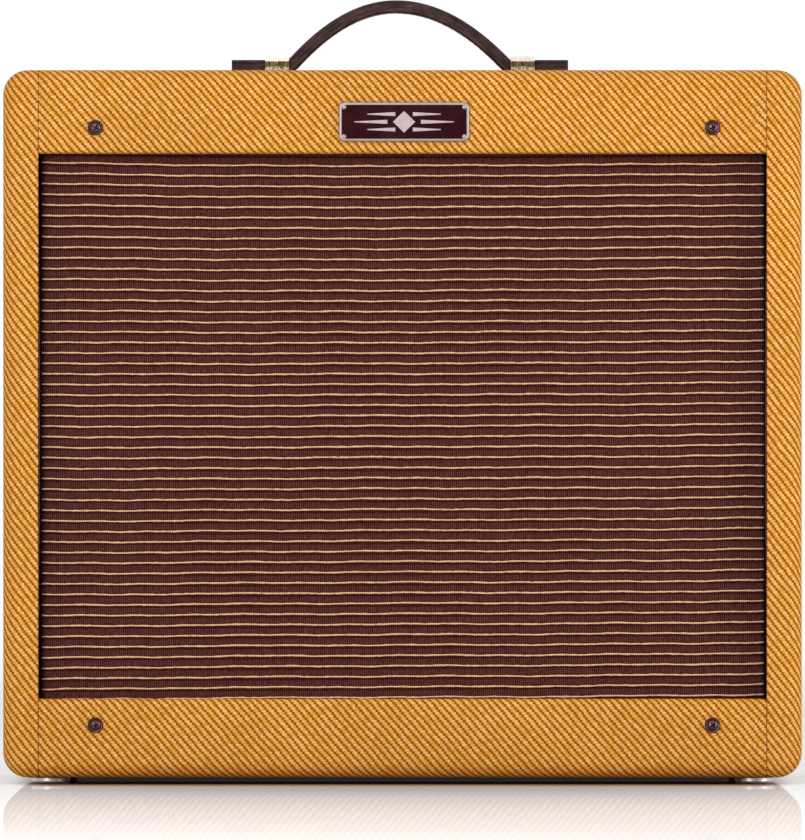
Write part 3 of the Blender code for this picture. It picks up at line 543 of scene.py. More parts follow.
def make_leather(name, pale, dark):
    """Pebbled strap leather with creases across it, paler where it is worn."""
    roughness = 0.42
    s = Shader(name, roughness=roughness, specular_ior_level=0.25)
    place = s.place()
    cells = s.node("TexVoronoi", place, None, 900.0, feature="DISTANCE_TO_EDGE").outputs["Distance"]
    creases = s.noise(s.stretched(place, (1.0, 0.35, 1.0)), 160.0, 4.0, 0.65)
    pebble = s.spread(cells, 0.0, 0.12)
    wear = s.noise(place, 45.0, 3.0)
    tone = s.scaled(creases, 0.6, s.times(wear, 0.5))
    colour = s.mix(s.spread(tone, 0.4, 0.75), dark, pale)
    s.set("Base Color", s.mix(s.spread(pebble, 0.0, 1.0, 0.35, 0.0), colour, dark))
    s.set("Roughness", s.spread(wear, 0.3, 0.7, roughness - 0.08, roughness + 0.15))
    s.bump(s.scaled(creases, 1.2, pebble), 0.12 * MM, 0.6)
    return s.material


def make_leather_edge():
    """The strap's cut edge, streaked along its layers. Its UVs are in metres, u along and v through it."""
    s = Shader("strap_edge", roughness=0.6, specular_ior_level=0.2)
    place = s.node("UVMap").outputs[0]
    streaks = s.noise(s.stretched(place, (0.1, 1.0, 1.0)), 1100.0, 3.0, 0.65)
    patches = s.noise(s.stretched(place, (0.5, 1.0, 1.0)), 200.0, 2.0)
    tone = s.scaled(patches, 0.5, s.times(streaks, 0.6))
    through = s.maths("ABSOLUTE", s.node("SeparateXYZ", place).outputs[1])
    colour = s.mix(s.spread(tone, 0.42, 0.72), srgb(22, 9, 9), srgb(70, 44, 40))
    s.set("Base Color", s.mix(s.spread(through, 2.5 * MM, 3.4 * MM), colour, srgb(20, 10, 9)))
    s.bump(streaks, 0.25 * MM, 0.8)
    return s.material


def make_paper_cone():
    """Pulp paper, fibrous and blotched."""
    s = Shader("pulp_paper", roughness=0.92, specular_ior_level=0.15)
    place = s.place()
    fibres = s.noise(place, 800.0, 4.0, 0.7)
    blotch = s.noise(place, 60.0, 3.0)
    tone = s.scaled(blotch, 0.5, s.times(fibres, 0.5))
    s.set("Base Color", s.mix(s.spread(tone, 0.35, 0.65), srgb(38, 34, 32), srgb(74, 68, 62)))
    s.bump(fibres, 0.12 * MM, 0.7)
    return s.material


def make_glass(name, colour=(1, 1, 1, 1), roughness=0.02):
    """Clear glass, very slightly uneven."""
    s = Shader(name, colour, roughness, 0.0, transmission_weight=1.0, ior=1.47)
    s.bump(s.noise(s.place(), 90.0, 2.0), 0.02 * MM, 0.3)
    return s.material


def make_circuit_board():
    """Green lacquer over copper tracks, whose edges show as a faint relief."""
    s = Shader("green_lacquer", roughness=0.35, coat_weight=0.3, coat_roughness=0.15)
    place = s.place()
    cells = s.node("TexVoronoi", place, None, 130.0, distance="MANHATTAN", feature="DISTANCE_TO_EDGE")
    tracks = s.spread(cells.outputs["Distance"], 0.03, 0.06)
    s.set("Base Color", s.mix(tracks, srgb(48, 104, 58), srgb(24, 66, 36)))
    s.bump(tracks, 0.05 * MM, 0.6)
    return s.material


def make_laminations():
    s = Shader("steel_laminations", roughness=0.5, metallic=0.6)
    place = s.place()
    depth = s.node("SeparateXYZ", place).outputs[1]
    layer = s.scaled(s.maths("SINE", s.times(depth, math.tau / (1.0 * MM))), 0.5, 0.5)
    grime = s.noise(place, 120.0, 3.0)
    s.set("Base Color", s.mix(s.spread(grime, 0.3, 0.7), srgb(42, 42, 46), srgb(66, 64, 66)))
    s.bump(layer, 0.25 * MM, 0.8)
    return s.material


TWEED = make_tweed("tweed_front")
TWEED_SIDE = make_tweed("tweed_side", TWILL_ANGLE + 3)
GRILLE = make_grille_cloth()
STRAND = make_strand()
PINE = make_wood("pine", srgb(222, 188, 136), srgb(176, 128, 76))
BAFFLE = make_wood("baffle_ply", srgb(120, 92, 64), srgb(84, 60, 40))
NICKEL = make_metal("nickel_plate", srgb(212, 206, 194), 0.22)
GLIDE = make_metal("satin_glide", srgb(232, 226, 228), 0.42)
CHROME = make_metal("chrome_plate", srgb(222, 224, 226), 0.07, 0.05)
BRONZE = make_metal("dark_bronze", srgb(92, 66, 70), 0.28, 0.1)
ZINC = make_metal("zinc_plate", srgb(176, 174, 164), 0.38, 0.16)
BADGE_METAL = make_metal("badge_metal", srgb(160, 145, 146), 0.5, 0.1, 500.0)
# Near-black for the screws' cross recesses: painted shade in the recess.
RECESS = make_plastic("recess_painted_shade", srgb(14, 9, 9), 0.7)
ENAMEL = make_plastic("black_enamel", srgb(26, 26, 28), 0.38, 300.0, 0.05)
BLACK = make_plastic("black_moulding", srgb(17, 17, 18), 0.28)
FERRITE = make_plastic("ferrite", srgb(58, 57, 58), 0.8, 400.0, 0.15)
LEATHER = make_leather("strap_leather", srgb(78, 50, 46), srgb(32, 17, 15))
LEATHER_EDGE = make_leather_edge()
THREAD_DARK = make_plastic("waxed_thread", srgb(46, 32, 26), 0.6, 1500.0, 0.1)
MAROON = make_plastic("badge_enamel", srgb(36, 4, 9), 0.4, 700.0, 0.01, specular_ior_level=0.03)
PAPER = make_paper_cone()
LACQUER = make_circuit_board()
LAMINATIONS = make_laminations()
TUBE_GLASS = make_glass("tube_glass")
CLAMP_NICKEL = make_aged_nickel()
# Near-black wood for the front strip inside the opening: painted shade, a dark sheet standing in for the
# recess's shadow.
SHADE_BLACK_WOOD = make_wood("shade_black_wood", srgb(16, 8, 6), srgb(8, 4, 3))
JEWEL = make_glass("jewel_glass", srgb(236, 24, 20), 0.04)
SURROUND = make_plastic("doped_cloth", srgb(34, 32, 31), 0.6, 700.0, 0.15)
SPIDER_CLOTH = make_plastic("phenolic_cloth", srgb(172, 128, 74), 0.8, 1400.0, 0.25)
FORMER = make_plastic("coil_former", srgb(186, 140, 88), 0.6, 500.0)
COPPER = make_metal("copper_wire", srgb(198, 118, 72), 0.3)
CERAMIC = make_plastic("socket_moulding", srgb(222, 214, 196), 0.5, 500.0)
SLEEVE = make_plastic("capacitor_sleeve", srgb(30, 44, 96), 0.35, 300.0)
RESISTOR = make_plastic("resistor_body", srgb(186, 160, 122), 0.5, 400.0)
PRINT = make_plastic("panel_print", srgb(20, 20, 22), 0.7, 600.0)
WHITE_INLAY = make_plastic("white_inlay", srgb(238, 236, 228), 0.4, 500.0)
ANODE = make_metal("anode_steel", srgb(64, 64, 66), 0.55)
GETTER = make_metal("getter_flash", srgb(196, 196, 200), 0.12)
MICA = make_plastic("mica_disc", srgb(206, 200, 182), 0.35, 300.0)
COIL_TAPE = make_plastic("winding_paper", srgb(196, 158, 92), 0.6, 200.0, 0.1)
LEAD = make_plastic("lead_sleeve", srgb(24, 24, 26), 0.5, 800.0, 0.08)


# Cabinet


def board_along_x(name, loop, low_x, high_x, material, replaces, step=0.02):
    """A covered board: a closed section in YZ, each point with its own v, run from one X to another.

    The cloth's u is x, and v is the length along the section, so the twill bends over the edges.
    """
    bm = bmesh.new()
    uv = bm.loops.layers.uv.new("UVMap")
    count = max(1, round((high_x - low_x) / step))
    xs = [low_x + (high_x - low_x) * k / count for k in range(count + 1)]
    lengths = [0.0]
    for (y0, z0), (y1, z1) in zip(loop, loop[1:] + loop[:1]):
        lengths.append(lengths[-1] + math.hypot(y1 - y0, z1 - z0))
    rings = [[bm.verts.new((x, y, z)) for y, z in loop] for x in xs]
    start_v = loop[0][1]
    for k in range(count):
        for j in range(len(loop)):
            after = (j + 1) % len(loop)
            face = bm.faces.new((rings[k][j], rings[k + 1][j], rings[k + 1][after], rings[k][after]))
            spots = ((xs[k], j), (xs[k + 1], j), (xs[k + 1], j + 1), (xs[k], j + 1))
            for corner, (x, at) in zip(face.loops, spots):
                corner[uv].uv = (x, start_v + lengths[at])
    for ring in (rings[0][::-1], rings[-1]):
        face = bm.faces.new(ring)
        for corner in face.loops:
            corner[uv].uv = (corner.vert.co.y, corner.vert.co.z)
    bmesh.ops.recalc_face_normals(bm, faces=bm.faces)
    return piece(name, mesh_of(name, bm), material, replaces=replaces)


def section(*corners):
    """A closed section in YZ, in order up the front and back over the top: (y, z, round of that corner)."""
    points = []
    count = len(corners)
    for k, (y, z, radius) in enumerate(corners):
        here = Vector((y, z))
        if radius == 0:
            points.append(tuple(here))
            continue
        before = (Vector(corners[k - 1][:2]) - here).normalized()
        after = (Vector(corners[(k + 1) % count][:2]) - here).normalized()
        middle = here + radius * (before + after)
        for step in range(9):
            a = math.radians(90 * step / 8)
            points.append(tuple(middle - radius * (after * math.cos(a) + before * math.sin(a))))
    return points


def make_rails_and_boards():
    x = INNER_X - SEAM
    low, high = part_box("front_top_rail")
    top_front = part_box("top_board")[0].y
    front = ((FRONT, low.z, EDGE_ROUND), (FRONT, TOP, RIM_ROUND))
    rail = section((high.y, low.z, 0), *front, (top_front - SEAM, TOP, 0))
    board_along_x("front_top_rail_tweed", rail, -x, x, TWEED, ("front_top_rail",))
    low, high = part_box("front_bottom_rail")
    front = ((FRONT, BASE, RIM_ROUND), (FRONT, high.z, EDGE_ROUND))
    rail = section((high.y, BASE, 0), *front, (high.y, high.z, 0))
    board_along_x("front_bottom_rail_tweed", rail, -x, x, TWEED, ("front_bottom_rail",))
    for node in ("upper_back_panel", "lower_back_panel"):
        low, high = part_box(node)
        rear = ((REAR, high.z, EDGE_ROUND), (REAR, low.z, EDGE_ROUND))
        panel = section((low.y, high.z, 0), *rear, (low.y, low.z, 0))
        board_along_x(node + "_tweed", panel, -x, x, TWEED, (node,))


def side_outline():
    """A side board's flat, from the lower inner corner round to the upper one: points and outward normals."""
    flat = OUTER_X - RIM_ROUND
    tight = CORNER_ROUND - RIM_ROUND
    arc_steps, straight = 8, 12

    def corner(z, start):
        turns = [math.radians(start + 90 * k / arc_steps) for k in range(arc_steps + 1)]
        normals = [Vector((math.cos(a), math.sin(a))) for a in turns]
        return [(Vector((flat - tight, z)) + tight * normal, normal) for normal in normals]

    low, high = BASE + CORNER_ROUND, TOP - CORNER_ROUND
    stations = [(Vector((INNER_X, BASE + RIM_ROUND)), Vector((0, -1))), *corner(low, -90)]
    for k in range(1, straight):
        stations.append((Vector((flat, low + (high - low) * k / straight)), Vector((1, 0))))
    stations += [*corner(high, 0), (Vector((INNER_X, TOP - RIM_ROUND)), Vector((0, 1)))]
    return zip(*stations)


def make_side(name, node, side):
    """A side board: flat outline in XZ with round outer corners, whose rims turn back over the sides.

    The twill lies flat on the front, bends over the rim, and runs up the side and over the corner to the top.
    """
    flat = OUTER_X - RIM_ROUND
    rim_steps, depth_steps = 7, 6
    # Rows from the front face back: how far out, y, and the length of cloth from the flat
    rim = []
    for k in range(rim_steps + 1):
        a = math.radians(90 * k / rim_steps)
        rim.append((RIM_ROUND * math.sin(a), RIM_ROUND * (1 - math.cos(a)), RIM_ROUND * a))
    rows = [(out, FRONT + back, cloth) for out, back, cloth in rim]
    depth = REAR - FRONT - 2 * RIM_ROUND
    for k in range(1, depth_steps):
        rows.append((RIM_ROUND, FRONT + RIM_ROUND + depth * k / depth_steps, None))
    rows += [(out, REAR - back, cloth) for out, back, cloth in rim[::-1]]
    flats, outward = side_outline()
    lengths = [0.0]
    for k in range(1, len(flats)):
        gap = ((flats[k] + outward[k] * RIM_ROUND) - (flats[k - 1] + outward[k - 1] * RIM_ROUND)).length
        lengths.append(lengths[-1] + gap)
    level = next(k for k, n in enumerate(outward) if n.x > 0.999)
    lengths = [length - lengths[level] + flats[level].y for length in lengths]
    bm = bmesh.new()
    uv = bm.loops.layers.uv.new("UVMap")
    grid = []
    for out, y, _ in rows:
        ring = []
        for base, normal in zip(flats, outward):
            spot = base + normal * out
            ring.append(bm.verts.new((side * spot.x, y, spot.y)))
        grid.append(ring)
    quarter = RIM_ROUND * math.pi / 2

    def spot_uv(row, station, kind):
        if kind == "side":
            back = rows[row][1] - FRONT - RIM_ROUND
            return side * (flat + quarter + back), lengths[station]
        cloth = flats[station] + outward[station] * rows[row][2]
        return (side if kind == "front" else -side) * cloth.x, cloth.y

    for r in range(len(rows) - 1):
        kind = "front" if r < rim_steps else ("rear" if r >= rim_steps + depth_steps else "side")
        for k in range(len(flats) - 1):
            face = bm.faces.new((grid[r][k], grid[r + 1][k], grid[r + 1][k + 1], grid[r][k + 1]))
            for corner, (row, station) in zip(face.loops, ((r, k), (r + 1, k), (r + 1, k + 1), (r, k + 1))):
                corner[uv].uv = spot_uv(row, station, kind)
    for row, kind in ((0, "front"), (len(rows) - 1, "rear")):
        face = bm.faces.new(grid[row])
        for station, corner in enumerate(face.loops):
            corner[uv].uv = spot_uv(row, station, kind)
    # The inner face's front strip takes the near-black wood as painted shade; the rest stays bare pine.
    split = rim_steps + 1
    front_strip = [ring[0] for ring in grid[: split + 1]] + [ring[-1] for ring in grid[: split + 1]][::-1]
    rest = [ring[0] for ring in grid[split:]] + [ring[-1] for ring in grid[split:]][::-1]
    for inside, wood in ((rest, 1), (front_strip, 2)):
        bm.faces.new(inside).material_index = wood
    bmesh.ops.recalc_face_normals(bm, faces=bm.faces)
    mesh = mesh_of(name, bm)
    for material in (TWEED_SIDE, PINE, SHADE_BLACK_WOOD):
        mesh.materials.append(material)
    return piece(name, mesh, None, replaces=(node,))


def make_top_board():
    """The top board round the recess, its cut-out's edge rounded, its underside bare."""
    low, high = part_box("top_board")
    recess_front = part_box("chassis")[0].y + RECESS_LIP
    x = INNER_X - SEAM
    outline = [(-x, low.y), (x, low.y), (x, high.y), (RECESS_X, high.y), (RECESS_X, recess_front)]
    outline += [(-RECESS_X, recess_front), (-RECESS_X, high.y), (-x, high.y)]
    bm = bmesh.new()
    add_prism(bm, outline, low.z, TOP)
    bmesh.ops.recalc_face_normals(bm, faces=bm.faces)

    def on_recess(edge):
        a, b = (v.co for v in edge.verts)
        at_top = a.z > TOP - 1e-6 and b.z > TOP - 1e-6
        inside = all(abs(p.x) < RECESS_X + 1e-5 and p.y > recess_front - 1e-5 for p in (a, b))
        return at_top and inside

    round_edges(bm, [edge for edge in bm.edges if on_recess(edge)], 5 * MM, 5)
    uv = bm.loops.layers.uv.new("UVMap")
    start_v = TOP + low.y - FRONT - (4 - math.pi) / 2 * RIM_ROUND
    for face in bm.faces:
        normal = face.normal
        for corner in face.loops:
            p = corner.vert.co
            if abs(normal.z) > 0.5:
                corner[uv].uv = (p.x, start_v + p.y - low.y)
            elif abs(normal.y) > abs(normal.x):
                corner[uv].uv = (p.x, start_v + p.y - low.y + TOP - p.z)
            else:
                corner[uv].uv = (p.x + (TOP - p.z) * (1 if normal.x > 0 else -1), start_v + p.y - low.y)
        if normal.z < -0.5:
            face.material_index = 1
    board = piece("top_board_tweed", bm, TWEED, replaces=("top_board",))
    board.data.materials.append(PINE)


def make_bottom_board():
    low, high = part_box("bottom_board")
    x = INNER_X - SEAM
    loop = section((low.y, high.z, 0), (REAR, high.z, 0), (REAR, BASE, RIM_ROUND), (low.y, BASE, 0))
    mesh = board_along_x("bottom_board_tweed", loop, -x, x, TWEED, ("bottom_board",)).data
    mesh.materials.append(PINE)
    for polygon in mesh.polygons:
        if polygon.normal.z > 0.9:
            polygon.material_index = 1


def make_cabinet():
    make_side("side_board_left_tweed", "side_board_left", -1)
    make_side("side_board_right_tweed", "side_board_right", 1)
    make_rails_and_boards()
    make_top_board()
    make_bottom_board()
    dress("baffle_board", BAFFLE)
    for node in ("batten_left", "batten_right"):
        dress(node, PINE, 0.8 * MM)


# Grille


def make_grille():
    """The woven cloth, and its pale cross threads as raised, slightly wandering strands."""
    low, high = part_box("grille_cloth")
    bm = bmesh.new()
    add_box(bm, (low.x, low.y + 0.3 * MM, low.z), high)
    cloth = piece("grille_cloth_weave", bm, GRILLE, replaces=("grille_cloth",))
    bm = bmesh.new()
    steps = 190
    left, right = 1.7 * MM - INNER_X, INNER_X - 1.3 * MM
    for line in range(int(CLOTH_SPAN / STRAND_PITCH) + 2):
        z = FIRST_STRAND - line * STRAND_PITCH
        phase = 0.06 * line
        points = []
        radii = []
        for k in range(steps + 1):
            x = left + (right - left) * k / steps
            sway = 0.2 * math.sin(19 * x + phase) + 0.2 * math.sin(61 * x - 2.1 * phase)
            sway += 0.15 * math.sin(205 * x + 3 * phase) + random.uniform(-0.1, 0.1)
            drop = cloth_drop(x / INNER_X, (FIRST_STRAND - z) / CLOTH_SPAN)
            points.append((x, low.y + 0.25 * MM, z + sway * MM - drop))
            radii.append(0.5 * MM * (1 + random.uniform(-0.22, 0.22)))
        add_tube(bm, points, 0, 6, radii)
    strands = piece("grille_cross_threads", mesh_of("grille_cross_threads", bm, 80), STRAND)


# Nameplate


def make_nameplate():
    """A metal rim round a maroon field, with a plain winged lozenge in place of any name, and four rivets."""
    low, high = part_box("nameplate")
    middle = (low + high) / 2
    width, height = high.x - low.x, high.z - low.z
    depth = high.y - low.y
    flat = Matrix.Translation((middle.x, high.y, middle.z)) @ TO_FRONT
    rim = 1.8 * MM
    outline = rounded_rectangle(width, height, 3 * MM)
    inner = rounded_rectangle(width - 2 * rim, height - 2 * rim, 1.2 * MM)
    bm = bmesh.new()
    crest = [shrunk(outline, by, width, height) for by in (0.5 * MM, rim - 0.4 * MM)]
    layers = ((outline, 0.0), (outline, depth - 0.6 * MM), (crest[0], depth))
    layers += ((crest[1], depth), (inner, depth - 0.5 * MM), (inner, 0.0))
    rings = [[bm.verts.new(flat @ Vector((x, y, z))) for x, y in points] for points, z in layers]
    for first, second in zip(rings, rings[1:] + rings[:1]):
        bridge(bm, first, second)
    bmesh.ops.recalc_face_normals(bm, faces=bm.faces)
    piece("nameplate_rim", mesh_of("nameplate_rim", bm, 50), BADGE_METAL, replaces=("nameplate",))
    face = depth - 0.8 * MM
    piece("nameplate_field", prism("nameplate_field", inner, 0.1 * MM, face, flat), MAROON)
    bm = bmesh.new()
    for outline in ornament():
        add_prism(bm, outline, face, face + 0.35 * MM, flat)
    bmesh.ops.recalc_face_normals(bm, faces=bm.faces)
    piece("nameplate_ornament", bm, BADGE_METAL)
    dome = []
    for k in range(7):
        a = math.radians(90 - 15 * k)
        dome.append((1.5 * math.cos(a), 0.9 * math.sin(a)))
    rivet = lathe("nameplate_rivet", in_mm(0, *dome, (1.5, -0.9), (0, -0.9)), 20, TO_FRONT)
    rivet.materials.append(BADGE_METAL)
    inset = 2.8 * MM
    for number, (sx, sz) in enumerate(((-1, -1), (1, -1), (-1, 1), (1, 1)), 1):
        spot = (middle.x + sx * (width / 2 - inset), low.y + 0.5 * MM, middle.z + sz * (height / 2 - inset))
        piece(f"nameplate_rivet_{number}", rivet, None, location=spot)


def shrunk(outline, by, width, height):
    """A rounded rectangle's outline drawn in evenly."""
    return [(x * (1 - 2 * by / width), y * (1 - 2 * by / height)) for x, y in outline]


def ornament():
    """A lozenge between three tapering bars a side, a pattern of no maker."""
    half_height = 6.2 * MM
    outlines = [[(0, -half_height), (6.4 * MM, 0), (0, half_height), (-6.4 * MM, 0)]]
    for side in (-1, 1):
        for lift, start, end in ((4.4, 5.0, 21.0), (0.0, 9.6, 28.5), (-4.4, 5.0, 21.0)):
            bar = in_mm(lift * MM, (start, -1.15), (end, -0.25), (end, 0.25), (start, 1.15))
            outlines.append([(side * x, y) for x, y in bar][::side])
    return outlines


# Screws


def phillips_head(name, metal, radius, crown):
    """An oval screw head about +Z, its rim at z = 0, with its cross recess painted near-black as shade."""
    profile = [(0.0, crown)]
    for k in range(1, 7):
        a = math.radians(90 - 80 * k / 6)
        profile.append((radius * math.cos(a) / math.cos(math.radians(10)), crown * math.sin(a)))
    profile += [(radius, 0.0), (radius * 0.6, -0.9 * radius), (0.0, -0.9 * radius)]
    head = lathe(name + "_blank", profile, 32)
    bm = bmesh.new()
    arm, half = 0.6 * radius, 0.15 * radius
    floor = crown - 0.75 * radius
    quarter = [(half, half), (half, arm), (-half, arm)]
    turns = ((1, 0), (0, 1), (-1, 0), (0, -1))
    outline = [(x * c - y * n, x * n + y * c) for c, n in turns for x, y in quarter]
    add_prism(bm, outline, floor, crown + radius)
    bmesh.ops.recalc_face_normals(bm, faces=bm.faces)
    made = carved(name, head, mesh_of(name + "_cross", bm))
    made.materials.append(metal)
    made.materials.append(RECESS)
    # The recess's walls and floor take the near-black material: painted shade.
    for polygon in made.polygons:
        inside = math.hypot(*polygon.center[:2]) < 0.62 * radius and polygon.center.z > floor - 1e-6
        if inside and (abs(polygon.normal.z) < 0.3 or polygon.center.z < floor + 1e-6):
            polygon.material_index = 1
    return made


def cup_washer(name, radius, height, bore):
    """A pressed cup washer about +Z, standing on z = 0."""
    profile = [(bore, height * 0.55), (bore + 0.35 * MM, height * 0.92), (bore + 0.8 * MM, height)]
    profile += [(radius * 0.72, height * 0.86), (radius * 0.9, height * 0.45)]
    profile += [(radius, 0.12 * MM), (radius, 0.0), (bore, 0.0)]
    return lathe(name, profile, 36, closed=True)


def make_screws():
    """Oval head screws in cup washers: on the front rails, the back panels, and the top for the chassis."""
    washer = cup_washer("cup_washer", 4.5 * MM, 2.0 * MM, 2.95 * MM)
    head = phillips_head("oval_screw", BRONZE, 3.05 * MM, 1.45 * MM)
    washer.materials.append(BRONZE)
    front = (math.radians(90), 0, 0)
    for row in ("top", "bottom"):
        for side in ("left", "right"):
            node = f"front_screw_{row}_{side}"
            low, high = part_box(node)
            x, z = (low.x + high.x) / 2, (low.z + high.z) / 2
            twist = random.uniform(0, math.tau)
            name = f"front_cup_washer_{row}_{side}"
            piece(name, washer, None, location=(x, FRONT, z), rotation=front)
            turn = (TO_FRONT @ Matrix.Rotation(twist, 4, "Z")).to_euler()
            spot = (x, FRONT - HEAD_LIFT, z)
            piece(f"{node}_head", head, None, location=spot, rotation=turn, replaces=(node,))
    nickel_washer = washer.copy()
    nickel_head = head.copy()
    for mesh in (nickel_washer, nickel_head):
        mesh.materials[0] = NICKEL
    low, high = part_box("upper_back_panel")
    lower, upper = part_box("lower_back_panel")
    heights = (high.z - 24 * MM, low.z + 14 * MM, upper.z - 14 * MM, lower.z + 15 * MM)
    for count, (z, x) in corners(heights, (-BACK_SCREW_X, BACK_SCREW_X)):
        spot = Vector((x, REAR, z))
        turn = (TO_BACK @ Matrix.Rotation(0.7 * count, 4, "Z")).to_euler()
        piece(f"back_cup_washer_{count}", nickel_washer, None, location=spot, rotation=turn)
        spot.y += HEAD_LIFT
        piece(f"back_screw_{count}", nickel_head, None, location=spot, rotation=turn)
    low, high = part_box("chassis")
    rows = (low.y + 30 * MM, high.y - 12 * MM)
    for count, (y, x) in corners(rows, (-CHASSIS_SCREW_X, CHASSIS_SCREW_X)):
        piece(f"chassis_cup_washer_{count}", nickel_washer, None, location=(x, y, TOP))
        piece(f"chassis_screw_{count}", nickel_head, None, location=(x, y, TOP + HEAD_LIFT))


# Handle and feet


def strap_height(x):
    """The height of the strap's centreline: flat ends and an arch, fitted to the CAD strap's box."""
    base = STRAP_LOW.z + STRAP_THICKNESS / 2
    crown = STRAP_HIGH.z - STRAP_THICKNESS / 2
    peak = (STRAP_LOW.x + STRAP_HIGH.x) / 2 - STRAP_PEAK
    arch = crown - STRAP_BENDS[0 if x < peak else 1] * (x - peak) ** 2
    return base + 0.5 * ((arch - base) + math.hypot(arch - base, STRAP_EASE))


def strap_slope(x):
    tilt = 1e-4
    return (strap_height(x + tilt) - strap_height(x - tilt)) / (2 * tilt)


def strap_up(x):
    return Vector((-strap_slope(x), 0, 1)).normalized()


def strap_section(half):
    """A rounded section with a groove between each two layers on both edges: (across, up)."""
    half_thickness = STRAP_THICKNESS / 2
    groove, bulge, edge = 0.35 * MM, 0.09 * MM, half - 0.1 * MM
    side = []
    layer = STRAP_THICKNESS / STRAP_LAYERS
    for number in range(STRAP_LAYERS):
        low = -half_thickness + number * layer
        side += [(half - groove, low + 0.02 * MM), (edge, low + 0.25 * layer)]
        side += [(edge + bulge, low + 0.5 * layer), (edge, low + 0.75 * layer)]
        side += [(half - groove, low + layer - 0.02 * MM)]
    side[0] = (half - 1.1 * MM, -half_thickness)
    side[-1] = (half - 1.1 * MM, half_thickness)
    crown = 0.25 * MM
    top = [(x * half, half_thickness + crown * (1 - x * x)) for x in (0.55, 0.0, -0.55)]
    other = [(-x, y) for x, y in side[::-1]]
    bottom = [(x * half, -half_thickness) for x in (-0.55, 0.0, 0.55)]
    return side + top + other + bottom


def make_handle():
    """The strap in its layers, its ends slightly narrower, with its stitching and clamps."""
    low, high = STRAP_LOW, STRAP_HIGH
    middle_y = (low.y + high.y) / 2
    outline = strap_section((high.y - low.y) / 2)
    steps = 120
    bm = bmesh.new()
    rings = []
    run = [0.0]
    for k in range(steps + 1):
        x = low.x + (high.x - low.x) * k / steps
        up = strap_up(x)
        centre = Vector((x, middle_y, strap_height(x)))
        end = min(k, steps - k)
        narrow = 1.0 if end > 2 else (0.86, 0.94, 0.985)[end]
        points = [centre + Vector((0, across * narrow, 0)) + up * rise for across, rise in outline]
        rings.append([bm.verts.new(point) for point in points])
        run.append(run[-1] + (high.x - low.x) / steps * math.hypot(1, strap_slope(x)))
    uv = bm.loops.layers.uv.new("UVMap")
    for first, second, here, there in zip(rings, rings[1:], run, run[1:]):
        for k in range(len(outline)):
            after = (k + 1) % len(outline)
            face = bm.faces.new((first[k], first[after], second[after], second[k]))
            spots = ((here, k), (here, after), (there, after), (there, k))
            for corner, (length, at) in zip(face.loops, spots):
                corner[uv].uv = (length, outline[at][1])
    bm.faces.new(rings[0][::-1])
    bm.faces.new(rings[-1])
    bmesh.ops.recalc_face_normals(bm, faces=bm.faces)
    mesh = mesh_of("handle_strap_leather", bm, 50)
    mesh.materials.append(LEATHER)
    mesh.materials.append(LEATHER_EDGE)
    for polygon in mesh.polygons:
        polygon.material_index = 1 if abs(polygon.normal.y) > 0.5 else 0
    piece("handle_strap_leather", mesh, None, replaces=("handle_strap",))
    make_stitches(low, high)
    for side in ("left", "right"):
        make_clamp(side)


def make_stitches(low, high):
    """Two rows of stitches along the strap's top and underside, each a short sunken loop of thread."""
    bm = bmesh.new()
    pitch = 4.2 * MM
    middle = (low + high) / 2
    half = (high.y - low.y) / 2 - 3.2 * MM
    under_clamp = (61 * MM, 79 * MM)  # from the strap's middle
    sinking = ((0.0, -0.6), (0.2, -0.28), (0.5, -0.18), (0.8, -0.28), (1.0, -0.6))
    x = low.x + 4 * MM
    while x < high.x - 5 * MM:
        if not under_clamp[0] < abs(x + pitch / 2 - middle.x) < under_clamp[1]:
            for across in (-half, half):
                for face_side in (1, -1):
                    points = []
                    for share, lift in sinking:
                        at = x + share * pitch * 0.78
                        centre = Vector((at, middle.y + across, strap_height(at)))
                        points.append(centre + face_side * strap_up(at) * (STRAP_THICKNESS / 2 + lift * MM))
                    add_tube(bm, points, 0.32 * MM, 6)
        x += pitch / math.hypot(1, strap_slope(x))
    piece("handle_stitching", mesh_of("handle_stitching", bm, 80), THREAD_DARK)


def make_clamp(side):
    """A pressed strap clamp: the CAD shape with rounded edges, and a screw through each flange."""
    node = f"handle_clamp_{side}"
    dress(node, CLAMP_NICKEL, 0.35 * MM, 3)
    low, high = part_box(node)
    head = bpy.data.meshes.get("clamp_screw")
    if head is None:
        head = phillips_head("clamp_screw", CLAMP_NICKEL, 2.9 * MM, 1.9 * MM)
    x = (low.x + high.x) / 2
    for number, y in ((1, low.y + 4.6 * MM), (2, high.y - 4.6 * MM)):
        spot = (x, y, TOP + 1.9 * MM)
        piece(f"{node}_screw_{number}", head, None, location=spot, rotation=(0, 0, 0.5 * number))


def make_feet():
    """Metal glides with a rounded lower edge."""
    for depth in ("front", "rear"):
        for side in ("left", "right"):
            node = f"foot_{depth}_{side}"
            low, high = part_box(node)
            radius = half_width(low, high)
            rise = high.z - low.z
            curve = 1.6 * MM
            profile = [(0.0, rise), (radius * 0.94, rise), (radius, rise - 0.4 * MM)]
            for k in range(9):
                a = math.radians(90 * k / 8)
                profile.append((radius - curve * (1 - math.cos(a)), curve * (1 - math.sin(a))))
            profile.append((0.0, 0.0))
            spot = ((low.x + high.x) / 2, (low.y + high.y) / 2, low.z)
            mesh = lathe(node + "_glide", profile, 48, angle=50)
            piece(node + "_glide", mesh, GLIDE, location=spot, replaces=(node,))


# Speaker, whose axis runs front to back


def along_axis(name, profile, steps=96, closed=True, angle=35):
    """A turned speaker part in place. Its profile gives (radius, y), front to back."""
    points = [(radius, -y) for radius, y in profile]
    return lathe(name, points, steps, Matrix.Translation(SPEAKER_AXIS) @ TO_FRONT, closed, angle)


def speaker_piece(name, profile, material, slot, body=BODY, replaces=(), **shape):
    return piece(name, along_axis(name, profile, **shape), material, body, replaces=replaces)


